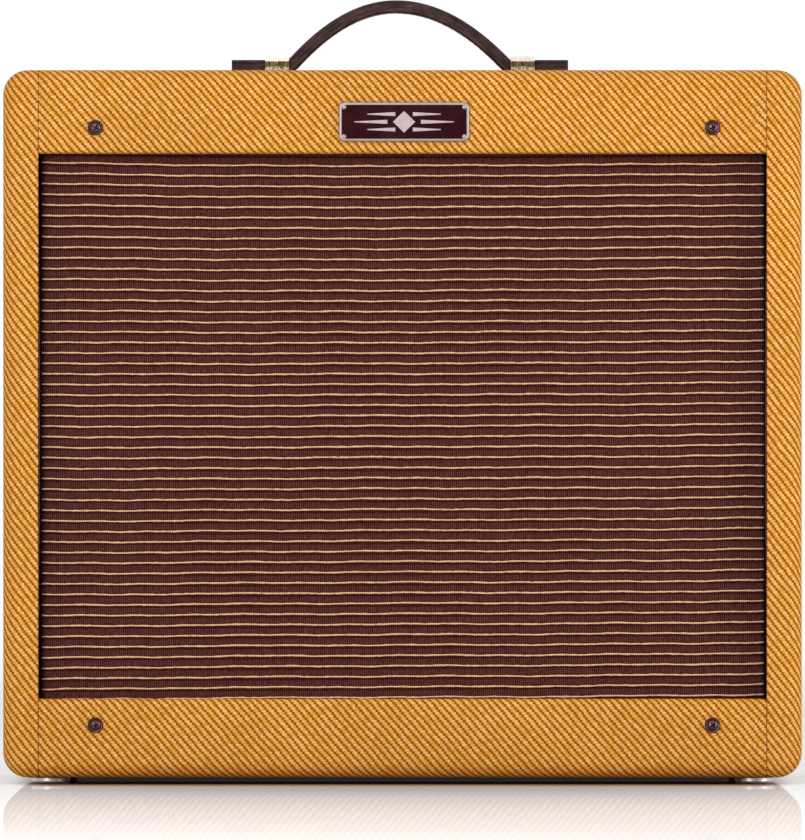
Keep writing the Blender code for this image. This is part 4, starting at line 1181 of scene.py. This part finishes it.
def shell(front_line, thickness):
    """A closed profile from an open line of (radius, y) and its thickness front to back."""
    return front_line + [(radius, y + thickness) for radius, y in front_line[::-1]]


def make_basket():
    """The pressed basket: flange, drum, eight windows in the bowl, and a waist that carries the magnet."""
    low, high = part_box("speaker_basket")
    rim = half_width(low, high)
    drum, waist, bore, sheet = 140.5 * MM, 71.5 * MM, 22.5 * MM, 1.5 * MM
    corner = low.y + 17.5 * MM
    shoulder = high.y - 12.5 * MM
    outer = [(rim - 0.4 * MM, low.y), (rim, low.y + 0.4 * MM), (rim, low.y + sheet)]
    outer += [(drum + 2.6 * MM, low.y + sheet), (drum + sheet, low.y + 2.6 * MM)]
    outer += [(drum + sheet, corner - 1 * MM), (drum + 0.4 * MM, corner + 1.4 * MM)]
    outer += in_mm(shoulder, (80, -0.8), (78, 0)) + [(waist + 1.5 * MM, shoulder)]
    outer += [(waist, shoulder + 1.5 * MM), (waist, high.y - 1.5 * MM), (waist - 1.5 * MM, high.y)]
    outer += [(bore, high.y)]
    inner = [(bore, high.y - sheet), (waist - sheet, high.y - sheet), (waist - sheet, shoulder - sheet)]
    inner += [(78 * MM, shoulder - sheet), (drum, corner), (drum, low.y)]
    blank = along_axis("basket_blank", outer + inner)
    bm = bmesh.new()
    half_window = ((81, 16), (83, 19), (131, 37), (134, 34))
    window = [(x * MM, -y * MM) for x, y in half_window] + [(x * MM, y * MM) for x, y in half_window[::-1]]
    for number in range(8):
        turn = Matrix.Rotation(number * math.tau / 8, 4, "Z")
        add_prism(bm, window, 23 * MM, 79 * MM, Matrix.Translation(SPEAKER_AXIS) @ TO_FRONT @ turn)
    bmesh.ops.recalc_face_normals(bm, faces=bm.faces)
    basket = carved("speaker_basket_pressing", blank, mesh_of("basket_windows", bm))
    piece("speaker_basket_pressing", basket, ENAMEL, replaces=("speaker_basket",))
    gasket_front, gasket_back = low.y - 0.05 * MM, low.y + 0.2 * MM
    gasket = [(rim - 1 * MM, gasket_front), (drum + 1.5 * MM, gasket_front)]
    gasket += [(drum + 1.5 * MM, gasket_back), (rim - 1 * MM, gasket_back)]
    speaker_piece("speaker_gasket", gasket, PAPER, "paper")
    make_terminals()
    head = phillips_head("speaker_screw", ZINC, 3.4 * MM, 2.0 * MM)
    for number in range(8):
        spot = on_speaker(147.5 * MM, 22.5 + 45 * number, low.y + sheet)
        turn = (TO_BACK @ Matrix.Rotation(number, 4, "Z")).to_euler()
        piece(f"speaker_screw_{number + 1}", head, ZINC, location=spot, rotation=turn)


def on_speaker(radius, degrees, y):
    """A place at a distance from the speaker's axis, its angle counted from +X towards +Z."""
    a = math.radians(degrees)
    return (SPEAKER_AXIS.x + radius * math.cos(a), y, SPEAKER_AXIS.z + radius * math.sin(a))


def make_terminals():
    """The fibre block on a basket arm, with its two solder tags."""
    x, y, z = on_speaker(100 * MM, 112.5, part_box("speaker_basket")[1].y - 28 * MM)
    block_low, block_high = (x - 9 * MM, y, z - 5 * MM), (x + 9 * MM, y + 9 * MM, z + 5 * MM)
    block = rounded_box("speaker_terminal_block", block_low, block_high, 0.6 * MM)
    piece("speaker_terminal_block", block, BLACK)
    bm = bmesh.new()
    for side in (-1, 1):
        at = x + side * 5.5 * MM
        add_box(bm, (at - 1.6 * MM, y + 8.6 * MM, z - 0.4 * MM), (at + 1.6 * MM, y + 13.5 * MM, z + 0.4 * MM))
    piece("speaker_solder_tags", bm, NICKEL)


def flexure(name, node, inner, thickness, steps, ripple, material):
    """A rolled or corrugated ring, from the node's rim in to a radius. The ripple depends on the share."""
    low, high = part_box(node)
    outer = half_width(low, high)
    front = (low.y + high.y) / 2 - thickness / 2
    shares = [k / steps for k in range(steps + 1)]
    line = [(outer + (inner - outer) * share, front + ripple(share)) for share in shares]
    speaker_piece(name, shell(line, thickness), material, "paper", replaces=(node,), angle=60)


def roll(share):
    return 0.55 * MM * math.cos(2 * math.tau * share)


def corrugation(share):
    return 0.4 * MM * math.sin(8 * math.tau * share)


def make_cone():
    """Ribbed paper cone, rolled surround, domed cap, coil, and corrugated spider."""
    moving = "speaker_moving_assembly"
    low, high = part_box("speaker_cone")
    rim, neck = half_width(low, high), 20.5 * MM
    line = []
    for k in range(101):
        share = k / 100
        radius = rim + (neck - rim) * share
        rib = sum(math.exp(-(((radius - at * MM) / (1.4 * MM)) ** 2)) for at in (64, 76, 88, 100, 112))
        line.append((radius, low.y + (high.y - low.y - 1 * MM) * share - 0.7 * MM * rib))
    cone = shell(line, 0.8 * MM)
    speaker_piece("speaker_cone_paper", cone, PAPER, "paper", moving, ("speaker_cone",), angle=60)
    flexure("speaker_surround_roll", "speaker_surround", rim + 0.3 * MM, 0.5 * MM, 40, roll, SURROUND)
    low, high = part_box("speaker_dust_cap")
    radius, felt = half_width(low, high), 0.6 * MM
    rise = high.y - low.y - felt
    dome = shell([(radius * k / 12, low.y + rise * (k / 12) ** 2) for k in range(13)], felt)
    cap = {"steps": 64, "closed": False}
    speaker_piece("speaker_dust_cap_felt", dome, PAPER, "paper", moving, ("speaker_dust_cap",), **cap)
    low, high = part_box("speaker_voice_coil")
    radius = half_width(low, high)
    former = straight_ring(radius - 0.4 * MM, radius - 0.8 * MM, low.y, high.y)
    speaker_piece("speaker_coil_former", former, FORMER, "nickel", moving, ("speaker_voice_coil",), steps=64)
    winding = straight_ring(radius, radius - 0.4 * MM, high.y - 12 * MM, high.y - 1 * MM)
    speaker_piece("speaker_coil_winding", winding, COPPER, "nickel", moving, steps=64)
    flexure("speaker_spider_disc", "speaker_spider", 20.3 * MM, 0.3 * MM, 140, corrugation, SPIDER_CLOTH)


def straight_ring(outer, inner, front, back):
    return [(outer, front), (outer, back), (inner, back), (inner, front)]


def make_motor():
    """The two plates and the ferrite ring between them, their outer edges chamfered."""
    rings = (
        ("speaker_front_plate", "speaker_top_plate", 20.5, 0.7, ZINC, "zinc_steel"),
        ("speaker_ferrite_ring", "speaker_magnet", 22.5, 1.2, FERRITE, "ferrite"),
    )
    for name, node, bore, edge, material, slot in rings:
        low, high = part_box(node)
        outer, bore, edge = half_width(low, high), bore * MM, edge * MM
        profile = [(outer - edge, low.y), (outer, low.y + edge), (outer, high.y - edge)]
        profile += [(outer - edge, high.y), (bore, high.y), (bore, low.y)]
        speaker_piece(name, profile, material, slot, replaces=(node,))
    low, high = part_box("speaker_back_plate")
    outer, pole = half_width(low, high), 17.8 * MM
    front = high.y - 8 * MM
    profile = [(0, low.y), (pole - 0.8 * MM, low.y), (pole, low.y + 0.8 * MM), (pole, front)]
    profile += [(outer - 0.6 * MM, front), (outer, front + 0.6 * MM), (outer, high.y - 2 * MM)]
    profile += [(outer - 2 * MM, high.y)]
    profile += in_mm(high.y, (24, 0), (23, -0.8), (9, -0.8), (8, -2.5), (0, -2.5))
    back = {"replaces": ("speaker_back_plate",), "closed": False}
    speaker_piece("speaker_pole_plate", profile, ZINC, "zinc_steel", **back)


# Control panel


def upright(name, profile, place, material, slot, body=BODY, replaces=(), **shape):
    """A turned piece standing on a place. Its profile gives (radius, height) in world heights."""
    spot = (place.x, place.y, 0)
    return piece(name, lathe(name, profile, **shape), material, body, spot, replaces=replaces)


def hex_nut(name, place, low, high, across, bore):
    """A hexagon nut with a round bore, its corners chamfered."""
    bm = bmesh.new()
    radius = across / 2 / math.cos(math.radians(30))
    add_prism(bm, round_points(radius, 6), low, high)
    round_edges(bm, bm.edges[:], 0.3 * MM, 2)
    blank = mesh_of(name + "_blank", bm)
    hole = [(0, high + MM), (bore, high + MM), (bore, low - MM), (0, low - MM)]
    nut = carved(name, blank, lathe(name + "_bore", hole, 24))
    return piece(name, nut, NICKEL, location=(place.x, place.y, 0))


def make_numerals():
    """Dial numbers 1 to 12 round each knob, read from behind the cabinet."""
    thickness = 0.03 * MM
    digits = []
    for number in range(1, 13):
        curve = bpy.data.curves.new(f"numeral_{number}", "FONT")
        curve.body = str(number)
        curve.size = 2.9 * MM
        curve.align_x = "CENTER"
        curve.align_y = "CENTER"
        curve.extrude = thickness
        text = bpy.data.objects.new(f"numeral_{number}", curve)
        bpy.context.scene.collection.objects.link(text)
        graph = bpy.context.evaluated_depsgraph_get()
        digits.append(bpy.data.meshes.new_from_object(text.evaluated_get(graph)))
        bpy.data.objects.remove(text)
    bm = bmesh.new()
    radius = 13.4 * MM
    for name in KNOB_NAMES:
        centre_x = middle_of(f"knob_{name}").x
        for index, digit in enumerate(digits):
            turn = math.radians(-150 + 300 * index / 11)
            x, y = centre_x - radius * math.sin(turn), CONTROLS_Y - radius * math.cos(turn)
            before = len(bm.verts)
            bm.from_mesh(digit)
            bm.verts.ensure_lookup_table()
            place = Matrix.Translation((x, y, PANEL + thickness)) @ Matrix.Rotation(math.pi, 4, "Z")
            bmesh.ops.transform(bm, matrix=place, verts=bm.verts[before:])
    piece("panel_numerals", bm, PRINT)


def make_knobs():
    """Pointer knobs: a round skirt under a tapering pointer with a white line, over a nut and washer."""
    half = ((0.9, -15.4), (2.2, -11.0), (3.4, -7.0), (4.4, 0.0), (4.0, 5.0), (2.8, 9.2), (1.2, 10.7))
    outline = [(x * MM, y * MM) for x, y in half] + [(-x * MM, y * MM) for x, y in half[::-1]]
    base = PANEL + 3.5 * MM
    for name in KNOB_NAMES:
        node = f"knob_{name}"
        body = f"{name}_knob"
        low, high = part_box(node)
        place = Vector(((low.x + high.x) / 2, CONTROLS_Y, 0))
        skirt = in_mm(high.z, (0, -3), (5.5, -3), (7.4, -4.2))
        skirt += in_mm(base, (9.2, 3.2), (9.9, 1.2), (10, 0), (3, 0)) + in_mm(low.z, (3, 0), (0, 0))
        upright(f"{node}_skirt", skirt, place, BLACK, "black_plastic", body, (node,), steps=64)
        pointer = prism(f"{node}_pointer", outline, base + 1 * MM, high.z, bevel=0.5 * MM, segments=3)
        piece(f"{node}_pointer", pointer, BLACK, body, place)
        bm = bmesh.new()
        add_box(bm, (-0.35 * MM, -14.6 * MM, high.z - 0.5 * MM), (0.35 * MM, 2 * MM, high.z + 0.03 * MM))
        piece(f"{node}_line", bm, WHITE_INLAY, body, place)
        hex_nut(f"{node}_nut", place, PANEL + 0.5 * MM, PANEL + 2.6 * MM, 11 * MM, 3.5 * MM)
        washer = in_mm(PANEL, (6.4, 0.5), (6.4, 0.05), (3.5, 0.05), (3.5, 0.5))
        upright(f"{node}_washer", washer, place, NICKEL, "nickel", closed=True)


def bored_housing(name, node, foot, radius):
    """The moulding under the panel that carries a bush, with a round well for it down to the foot."""
    low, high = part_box(node)
    place = middle_of(node)
    housing = rounded_box(name, low, (high.x, high.y, PANEL - 2 * MM), 0.6 * MM)
    well = lathe(name + "_well", [(0, TOP), (radius, TOP), (radius, foot), (0, foot)], 32)
    well.transform(Matrix.Translation((place.x, place.y, 0)))
    piece(name, carved(name + "_bored", housing, well), BLACK)


def make_input_jack():
    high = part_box("input_jack")[1]
    place = middle_of("input_jack")
    barrel = in_mm(high.z, (3.4, -0.4), (3.8, 0), (4.7, -0.5)) + in_mm(JACK_FOOT, (4.7, 2), (3.3, 2))
    upright("input_jack_barrel", barrel, place, NICKEL, "nickel", replaces=("input_jack",), closed=True)
    hex_nut("input_jack_nut", place, PANEL + 0.1 * MM, PANEL + 3.2 * MM, 12.6 * MM, 4.7 * MM)
    bored_housing("input_jack_housing", "input_jack", JACK_FOOT, 4.65 * MM)


def make_push_button():
    node = "fat_switch_button"
    low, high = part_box(node)
    radius = half_width(low, high)
    button = [(0, high.z), (radius - 0.9 * MM, high.z), (radius - 0.2 * MM, high.z - 0.3 * MM)]
    button += [(radius, high.z - 0.9 * MM), (radius, low.z), (0, low.z)]
    place = middle_of(node)
    upright("fat_switch_cap", button, place, BLACK, "black_plastic", "fat_switch_plunger", (node,))
    bezel = in_mm(PANEL, (4.0, 1.3), (5.4, 1.0), (6.0, 0.05), (3.6, 0.05), (3.6, 1.1))
    upright("fat_switch_bezel", bezel, place, CHROME, "chrome", closed=True)


def make_power_switch():
    """A threaded collar in the panel, a nut, the housing below, and a bat-shaped lever on its pivot."""
    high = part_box("power_switch_body")[1]
    place = middle_of("power_switch_body")
    collar = in_mm(high.z, (4.0, -0.4), (4.5, 0))
    for k in range(8):
        thread = high.z - 0.4 * MM - 0.8 * MM * k
        collar += [(5.6 * MM, thread), (5.3 * MM, thread - 0.4 * MM)]
    collar += in_mm(SWITCH_FOOT, (5.6, 0), (4.0, 0))
    node = "power_switch_body"
    upright("power_switch_collar", collar, place, NICKEL, "nickel", replaces=(node,), closed=True)
    hex_nut("power_switch_nut", place, PANEL + 0.1 * MM, PANEL + 2.2 * MM, 14 * MM, 5.6 * MM)
    bored_housing("power_switch_housing", "power_switch_body", SWITCH_FOOT, 5.65 * MM)
    lever = ((0, 13.0), (0.9, 12.9), (1.7, 12.5), (2.2, 11.7), (2.4, 10.8), (2.2, 9.0), (1.4, 3.0))
    lever += ((1.3, 2.0), (1.9, 1.1), (2.2, 0.2), (2.1, -0.9), (1.5, -1.9), (0.8, -2.4), (0, -2.4))
    mesh = lathe("power_switch_bat", in_mm(0, *lever), 40)
    pivot = Vector((place.x, place.y, LEVER_PIVOT))
    lean = (math.radians(-12), 0, 0)
    piece("power_switch_bat", mesh, CHROME, "power_lever", pivot, lean, ("power_switch_lever",))


def make_lamp():
    low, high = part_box("pilot_lamp_holder")
    place = middle_of("pilot_lamp_holder")
    bezel = in_mm(high.z, (0, 0), (7.2, 0), (8.2, -0.2), (9.0, -1.2))
    bezel += in_mm(PANEL, (9.2, 0.6), (9.2, 0.3), (7.5, 0.3)) + in_mm(low.z, (7.5, 0), (0, 0))
    upright("pilot_lamp_bezel", bezel, place, CHROME, "chrome", replaces=("pilot_lamp_holder",), steps=64)
    low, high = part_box("pilot_jewel")
    place = middle_of("pilot_jewel")
    cut_stone = in_mm(high.z, (0, 0), (2.6, -0.2), (5.2, -2.2)) + in_mm(low.z, (6.5, 2.4), (6.7, 0), (0, 0))
    facets = {"replaces": ("pilot_jewel",), "steps": 10, "angle": 5}
    upright("pilot_jewel_facets", cut_stone, place, JEWEL, "jewel_red", **facets)


def make_fuse():
    """The holder's flange, and its cap with a coin slot across the top and flutes round its side."""
    low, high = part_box("fuse_holder")
    place = middle_of("fuse_holder")
    flange = in_mm(high.z, (0, 0), (7.4, 0), (7.8, -0.4))
    flange += in_mm(PANEL, (7.8, 0.3), (5.9, 0.3)) + in_mm(low.z, (5.9, 0), (0, 0))
    upright("fuse_holder_flange", flange, place, BLACK, "black_plastic", replaces=("fuse_holder",))
    low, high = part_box("fuse_cap")
    cap = in_mm(high.z, (0, 0), (4.4, 0), (5.0, -0.4)) + in_mm(low.z, (5.5, 0.6), (5.7, 0), (0, 0))
    blank = lathe("fuse_cap_blank", cap)
    bm = bmesh.new()
    add_box(bm, (-0.7 * MM, -8 * MM, high.z - 1.8 * MM), (0.7 * MM, 8 * MM, high.z + MM))
    flute = [(-0.35 * MM, 0), (0, -0.35 * MM), (0.5 * MM, 0), (0, 0.35 * MM)]
    for k in range(20):
        a = math.tau * k / 20
        spot = (5.75 * MM * math.cos(a), 5.75 * MM * math.sin(a), 0)
        place_flute = Matrix.Translation(spot) @ Matrix.Rotation(a, 4, "Z")
        add_prism(bm, flute, low.z + 1.2 * MM, high.z + MM, place_flute)
    bmesh.ops.recalc_face_normals(bm, faces=bm.faces)
    mesh = carved("fuse_cap_fluted", blank, mesh_of("fuse_cap_cuts", bm))
    spot = (place.x, place.y, 0)
    piece("fuse_cap_fluted", mesh, BLACK, "fuse_holder_cap", spot, replaces=("fuse_cap",))


# Inside


def make_circuit_board_parts():
    """The main board with its pots, push switch, filter capacitors, and small parts."""
    low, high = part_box("circuit_board")
    top = low.z + BOARD_SHEET
    board = rounded_box("circuit_board_panel", low, (high.x, high.y, top), 0.2 * MM, 1)
    piece("circuit_board_panel", board, LACQUER, replaces=("circuit_board",))
    pot = in_mm(high.z, (0, 0), (3.4, 0), (3.6, -5), (8.0, -5.2), (8.5, -5.8))
    pot += in_mm(top, (8.5, 1), (8.2, 0), (0, 0))
    for name in KNOB_NAMES:
        place = Vector((middle_of(f"knob_{name}").x, CONTROLS_Y, 0))
        upright(f"potentiometer_{name}", pot, place, ZINC, "zinc_steel")
    x, half = middle_of("fat_switch_button").x, 5 * MM
    box = ((x - half, CONTROLS_Y - half, top), (x + half, CONTROLS_Y + half, high.z))
    piece("push_switch_body", rounded_box("push_switch_body", *box, 0.4 * MM), BLACK)
    can = ((0, 26.6), (4.8, 26.6), (5.6, 27), (6.4, 26), (6.5, 2.6), (6.0, 1.8), (6.5, 1), (6.4, 0), (0, 0))
    for number, x in enumerate((-120, -95, -70, -45), 1):
        place = Vector((x * MM, low.y + 14 * MM, 0))
        upright(f"filter_capacitor_{number}", in_mm(top, *can), place, SLEEVE, "black_plastic")
    make_small_parts(low, high, top)


def make_small_parts(low, high, top):
    """Resistors lying on the board and small film capacitors between the large parts."""
    body = ((-3.2, 0.9), (-2.4, 1.15), (-1.8, 0.95), (1.8, 0.95), (2.4, 1.15), (3.2, 0.9))
    clear_of_cans = -30 * MM
    resistors = bmesh.new()
    films = bmesh.new()
    for k in range(22):
        x = low.x + 16 * MM + k * 12.4 * MM
        points = [(x + at * MM, high.y - 7 * MM, top + 1.3 * MM) for at, _ in body]
        add_tube(resistors, points, 0, 12, [r * MM for _, r in body])
        if k % 3 == 1 and x > clear_of_cans:
            add_box(films, (x - 3.5 * MM, low.y + 4 * MM, top), (x + 3.5 * MM, low.y + 8 * MM, top + 6 * MM))
    piece("board_resistors", resistors, RESISTOR)
    round_edges(films, films.edges[:], 0.5 * MM, 2)
    piece("board_film_capacitors", films, MAROON)


def glass_profiles(radius, tip, base):
    """A valve's glass from its base down to the pip, and the cavity inside it."""
    outer = [(0, base), (radius - 1.4 * MM, base), (radius - 0.4 * MM, base - 0.6 * MM)]
    outer.append((radius, base - 2.4 * MM))
    for k in range(9):
        a = math.radians(90 * k / 8)
        outer.append((3 * MM + (radius - 3 * MM) * math.cos(a), tip + 10.5 * MM - 6.5 * MM * math.sin(a)))
    wall = 0.7 * MM
    inner = [(max(r - wall, 0), z - wall if k < 4 else z + wall) for k, (r, z) in enumerate(outer)]
    inner = [(0, base - 1.2 * MM)] + inner[1:] + [(0, tip + 5 * MM)]
    return outer + in_mm(tip, (2.2, 3.4), (1.5, 1.4), (0.8, 0.3), (0, 0)), inner


def make_valves():
    """Hanging valves: glass with a pip, a getter flash, anode, micas and pins, under their ribbed sockets."""
    low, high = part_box("tube_socket_board")
    board_low = high.z - BOARD_SHEET
    board = rounded_box("tube_socket_panel", (low.x, low.y, board_low), high, 0.2 * MM, 1)
    piece("tube_socket_panel", board, LACQUER, replaces=("tube_socket_board",))
    socket = [(0, board_low), (10.5 * MM, board_low)]
    socket += in_mm(low.z, (10.5, 6), (9.8, 5.4), (9.8, 0.6), (9.4, 0), (0, 0))
    for node in ("power_tube_1", "power_tube_2", "preamp_tube_1", "preamp_tube_2", "preamp_tube_3"):
        glass_low, glass_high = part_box(node)
        place = middle_of(node)
        radius = half_width(glass_low, glass_high)
        upright(f"{node}_socket", socket, place, CERAMIC, "black_plastic")
        outer, inner = glass_profiles(radius, glass_low.z, glass_high.z)
        bm = bmesh.new()
        add_lathe(bm, outer, 40)
        inside = bmesh.new()
        add_lathe(inside, inner, 40)
        bmesh.ops.recalc_face_normals(bm, faces=bm.faces)
        bmesh.ops.recalc_face_normals(inside, faces=inside.faces)
        bmesh.ops.reverse_faces(inside, faces=inside.faces)
        cavity = bpy.data.meshes.new(f"{node}_cavity")
        inside.to_mesh(cavity)
        inside.free()
        bm.from_mesh(cavity)
        mesh = mesh_of(f"{node}_envelope", bm, 50)
        spot = (place.x, place.y, 0)
        piece(f"{node}_envelope", mesh, TUBE_GLASS, location=spot, replaces=(node,))
        make_electrodes(node, place, radius, glass_low.z, glass_high.z)


def make_electrodes(node, place, radius, tip, base):
    """An oval anode between two micas on support rods, and the silvery getter flash round the tip."""
    power = node.startswith("power")
    top, bottom = base - 9 * MM, tip + (19 if power else 14) * MM
    spot = (place.x, place.y, 0)
    width = radius * (0.62 if power else 0.5)
    oval = []
    for cosine, sine in round_points(1, 24):
        fin = 1.15 if abs(cosine) > 0.8 else 0.9
        oval.append((width * cosine * fin, 0.72 * width * sine))
    anode = bmesh.new()
    add_prism(anode, oval, bottom, top)
    piece(f"{node}_anode", anode, ANODE, location=spot)
    star = []
    for k, (cosine, sine) in enumerate(round_points(1, 24)):
        reach = radius - (1.1 if k % 2 else 1.9) * MM
        star.append((reach * cosine, reach * sine))
    micas = bmesh.new()
    for z in (top + 0.6 * MM, bottom - 1.1 * MM):
        add_prism(micas, star, z, z + 0.4 * MM)
    piece(f"{node}_micas", micas, MICA, location=spot)
    rods = bmesh.new()
    for k in range(9):
        a = math.tau * (k + 0.5) / 10
        x, y = 5.9 * MM * math.cos(a), 5.9 * MM * math.sin(a)
        add_tube(rods, [(x, y, base - 2 * MM), (x * 0.8, y * 0.8, top + MM)], 0.3 * MM, 8)
    for x in (-width * 1.2, width * 1.2):
        add_tube(rods, [(x, 0, top + 2 * MM), (x, 0, bottom - 2 * MM)], 0.35 * MM, 8)
    getter_ring = in_mm(bottom, (2.6, -4.0), (3.2, -4.0), (3.2, -4.8), (2.6, -4.8))
    add_lathe(rods, getter_ring, 24, closed=True)
    piece(f"{node}_rods", rods, NICKEL, location=spot)
    flash = []
    for k in range(9):
        a = math.radians(25 + 65 * k / 8)
        flash.append((2.2 * MM + (radius - 3.1 * MM) * math.cos(a), tip + 10.6 * MM - 5.4 * MM * math.sin(a)))
    film = flash + [(r - 0.05 * MM, z + 0.05 * MM) for r, z in flash[::-1]]
    mesh = lathe(f"{node}_getter", film, 32, closed=True, angle=60)
    piece(f"{node}_getter", mesh, GETTER, location=spot)


def make_transformers():
    """Laminated cores with a paper-wrapped winding, held to the chassis by four screws each."""
    # Half the core's depth, and the winding's distance from the core's sides, foot and top, in millimetres
    shapes = {"power_transformer": (13, 12, 14, 10.7), "output_transformer": (9, 9, 9, 8.7)}
    for node, shape in shapes.items():
        deep, side, foot, crown = (value * MM for value in shape)
        low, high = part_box(node)
        middle = middle_of(node)
        core = ((low.x, middle.y - deep, low.z), (high.x, middle.y + deep, high.z))
        mesh = rounded_box(f"{node}_core", *core, 0.5 * MM, 2)
        piece(f"{node}_core", mesh, LAMINATIONS, replaces=(node,))
        coil = ((low.x + side, low.y, low.z + foot), (high.x - side, high.y, high.z - crown))
        piece(f"{node}_winding", rounded_box(f"{node}_winding", *coil, 3 * MM, 5), COIL_TAPE)
        head = phillips_head(f"{node}_screw", ZINC, 3.0 * MM, 1.8 * MM)
        edge = 4.5 * MM
        turn = (math.radians(-90), 0, 0)
        for number, (x, z) in corners((low.x + edge, high.x - edge), (low.z + edge, high.z - edge)):
            spot = (x, middle.y + deep, z)
            piece(f"{node}_screw_{number}", head, ZINC, location=spot, rotation=turn)


def make_reverb_tank():
    """The tank's three springs between its two transducers, and a screw in each corner."""
    dress("reverb_tank", ZINC, 0.8 * MM, 3)
    low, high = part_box("reverb_tank")
    sheet = 2 * MM
    start, end = low.x + 26 * MM, high.x - 26 * MM
    turns, sides, coil = 58, 10, 2.2 * MM
    springs = bmesh.new()
    for share in (0.3, 0.5, 0.7):
        y = low.y + (high.y - low.y) * share
        points = []
        for k in range(turns * sides + 1):
            a = math.tau * k / sides
            x = start + (end - start) * k / (turns * sides)
            points.append((x, y + coil * math.cos(a), low.z + 12 * MM + coil * math.sin(a)))
        add_tube(springs, points, 0.28 * MM, 5)
    piece("reverb_springs", mesh_of("reverb_springs", springs, 80), NICKEL)
    for side, start in (("left", low.x + sheet + 6 * MM), ("right", high.x - sheet - 18 * MM)):
        name = f"reverb_transducer_{side}"
        block_low = (start, low.y + 22 * MM, low.z + 5 * MM)
        block_high = (start + 12 * MM, high.y - 22 * MM, high.z - sheet - 0.5 * MM)
        piece(name, rounded_box(name, block_low, block_high, 0.8 * MM), LAMINATIONS)
    head = phillips_head("reverb_screw", ZINC, 3.2 * MM, 1.9 * MM)
    edge = 9 * MM
    for number, (x, y) in corners((low.x + edge, high.x - edge), (low.y + edge, high.y - edge)):
        piece(f"reverb_screw_{number}", head, ZINC, location=(x, y, high.z))


# Stage


def make_floor():
    """A polished pale floor with a faint mirror image, painted paler far off, with a painted shadow under the
    cabinet.
    """
    s = Shader("floor_white", roughness=0.9, specular_ior_level=0.0)
    place = s.place()
    away = s.node("VectorMath", place, operation="LENGTH").outputs["Value"]
    # Painted light: the floor's colour rises from 0.7 near the cabinet to 0.97 far away, making up for the
    # lamps' falloff.
    paint = s.mix(s.spread(away, 1.2, 5.0), (0.7, 0.7, 0.7, 1), (0.97, 0.97, 0.97, 1))
    s.set("Base Color", paint)
    mirror = s.spread(away, 0.1, 1.8, 0.52, 0.1, False)
    polished = s.node("BsdfPrincipled")
    for name, value in (("Base Color", paint), ("Roughness", 0.02), ("Specular Tint", (1, 0.985, 0.95, 1))):
        s.feed(polished.inputs[name], value)
    blend = s.node("MixShader", mirror, s.principled.outputs[0], polished.outputs[0])
    x, y, _ = s.node("SeparateXYZ", place).outputs
    # Painted contact shadow: under the cabinet, fading over 50 mm in front and behind and inset from its
    # sides, a dim brown diffuse stands in for the floor.
    fade = 50 * MM
    shade = s.times(s.spread(y, FRONT - fade, FRONT), s.spread(y, REAR, REAR + fade, 1.0, 0.0))
    inset = s.spread(s.maths("ABSOLUTE", x), OUTER_X - 28 * MM, OUTER_X - 4 * MM, 1.0, 0.0)
    shade = s.times(s.times(shade, inset), 0.96)
    dim = s.node("BsdfDiffuse", srgb(150, 104, 70))
    floor_with_painted_shadow = s.node("MixShader", shade, blend.outputs[0], dim.outputs[0])
    s.tree.links.new(floor_with_painted_shadow.outputs[0], s.tree.nodes["Material Output"].inputs[0])
    bm = bmesh.new()
    bmesh.ops.create_grid(bm, x_segments=1, y_segments=1, size=40)
    mesh = mesh_of("floor", bm)
    mesh.materials.append(s.material)
    linked("floor", mesh)


def area_light(name, place, aim, width, height, power):
    light = bpy.data.lights.new(name, "AREA")
    light.shape = "RECTANGLE"
    light.size = width
    light.size_y = height
    light.energy = power
    obj = linked(name, light)
    obj.location = place
    obj.rotation_euler = (Vector(aim) - Vector(place)).to_track_quat("-Z", "Y").to_euler()


def make_light():
    """An even white room, a key at the front left, a low light for the bottom rail, and one at the right."""
    world = bpy.data.worlds.new("studio")
    bpy.context.scene.world = world
    world.use_nodes = True
    background = world.node_tree.nodes["Background"]
    background.inputs[0].default_value = (1, 1, 1, 1)
    background.inputs[1].default_value = 1.0
    area_light("key", (-0.6, -2.0, 1.0), (0, 0, 0.2), 1.0, 0.8, 18)
    area_light("low", (-0.9, -1.9, 0.16), (0, 0, 0.05), 0.9, 0.25, 6)
    area_light("side", (1.5, -0.9, 0.5), (0.15, 0, 0.25), 0.9, 0.9, 15)


def make_camera():
    """A long lens square to the grille, whose view is this high at the cabinet's front."""
    distance = 8.0
    view_height = 0.4804
    camera_height = 0.2087
    sensor = 36
    camera = bpy.data.cameras.new("photo_view")
    camera.sensor_width = sensor
    camera.sensor_fit = "AUTO"
    camera.lens = sensor * distance / view_height
    camera.clip_end = 200
    obj = linked("photo_view", camera)
    obj.location = (0, FRONT - distance, camera_height)
    obj.rotation_euler = (math.radians(90), 0, 0)
    bpy.context.scene.camera = obj
    bpy.context.scene.view_settings.view_transform = "Standard"


make_camera()
make_light()
make_floor()
make_cabinet()
make_grille()
make_nameplate()
make_screws()
make_handle()
make_feet()
make_basket()
make_cone()
make_motor()
dress("chassis", CHROME, 0.5 * MM, 3)
make_numerals()
make_knobs()
make_input_jack()
make_push_button()
make_power_switch()
make_lamp()
make_fuse()
make_circuit_board_parts()
make_valves()
make_transformers()
dress("mains_inlet", BLACK, 0.3 * MM)
make_reverb_tank()
dress("speaker_lead", LEAD)
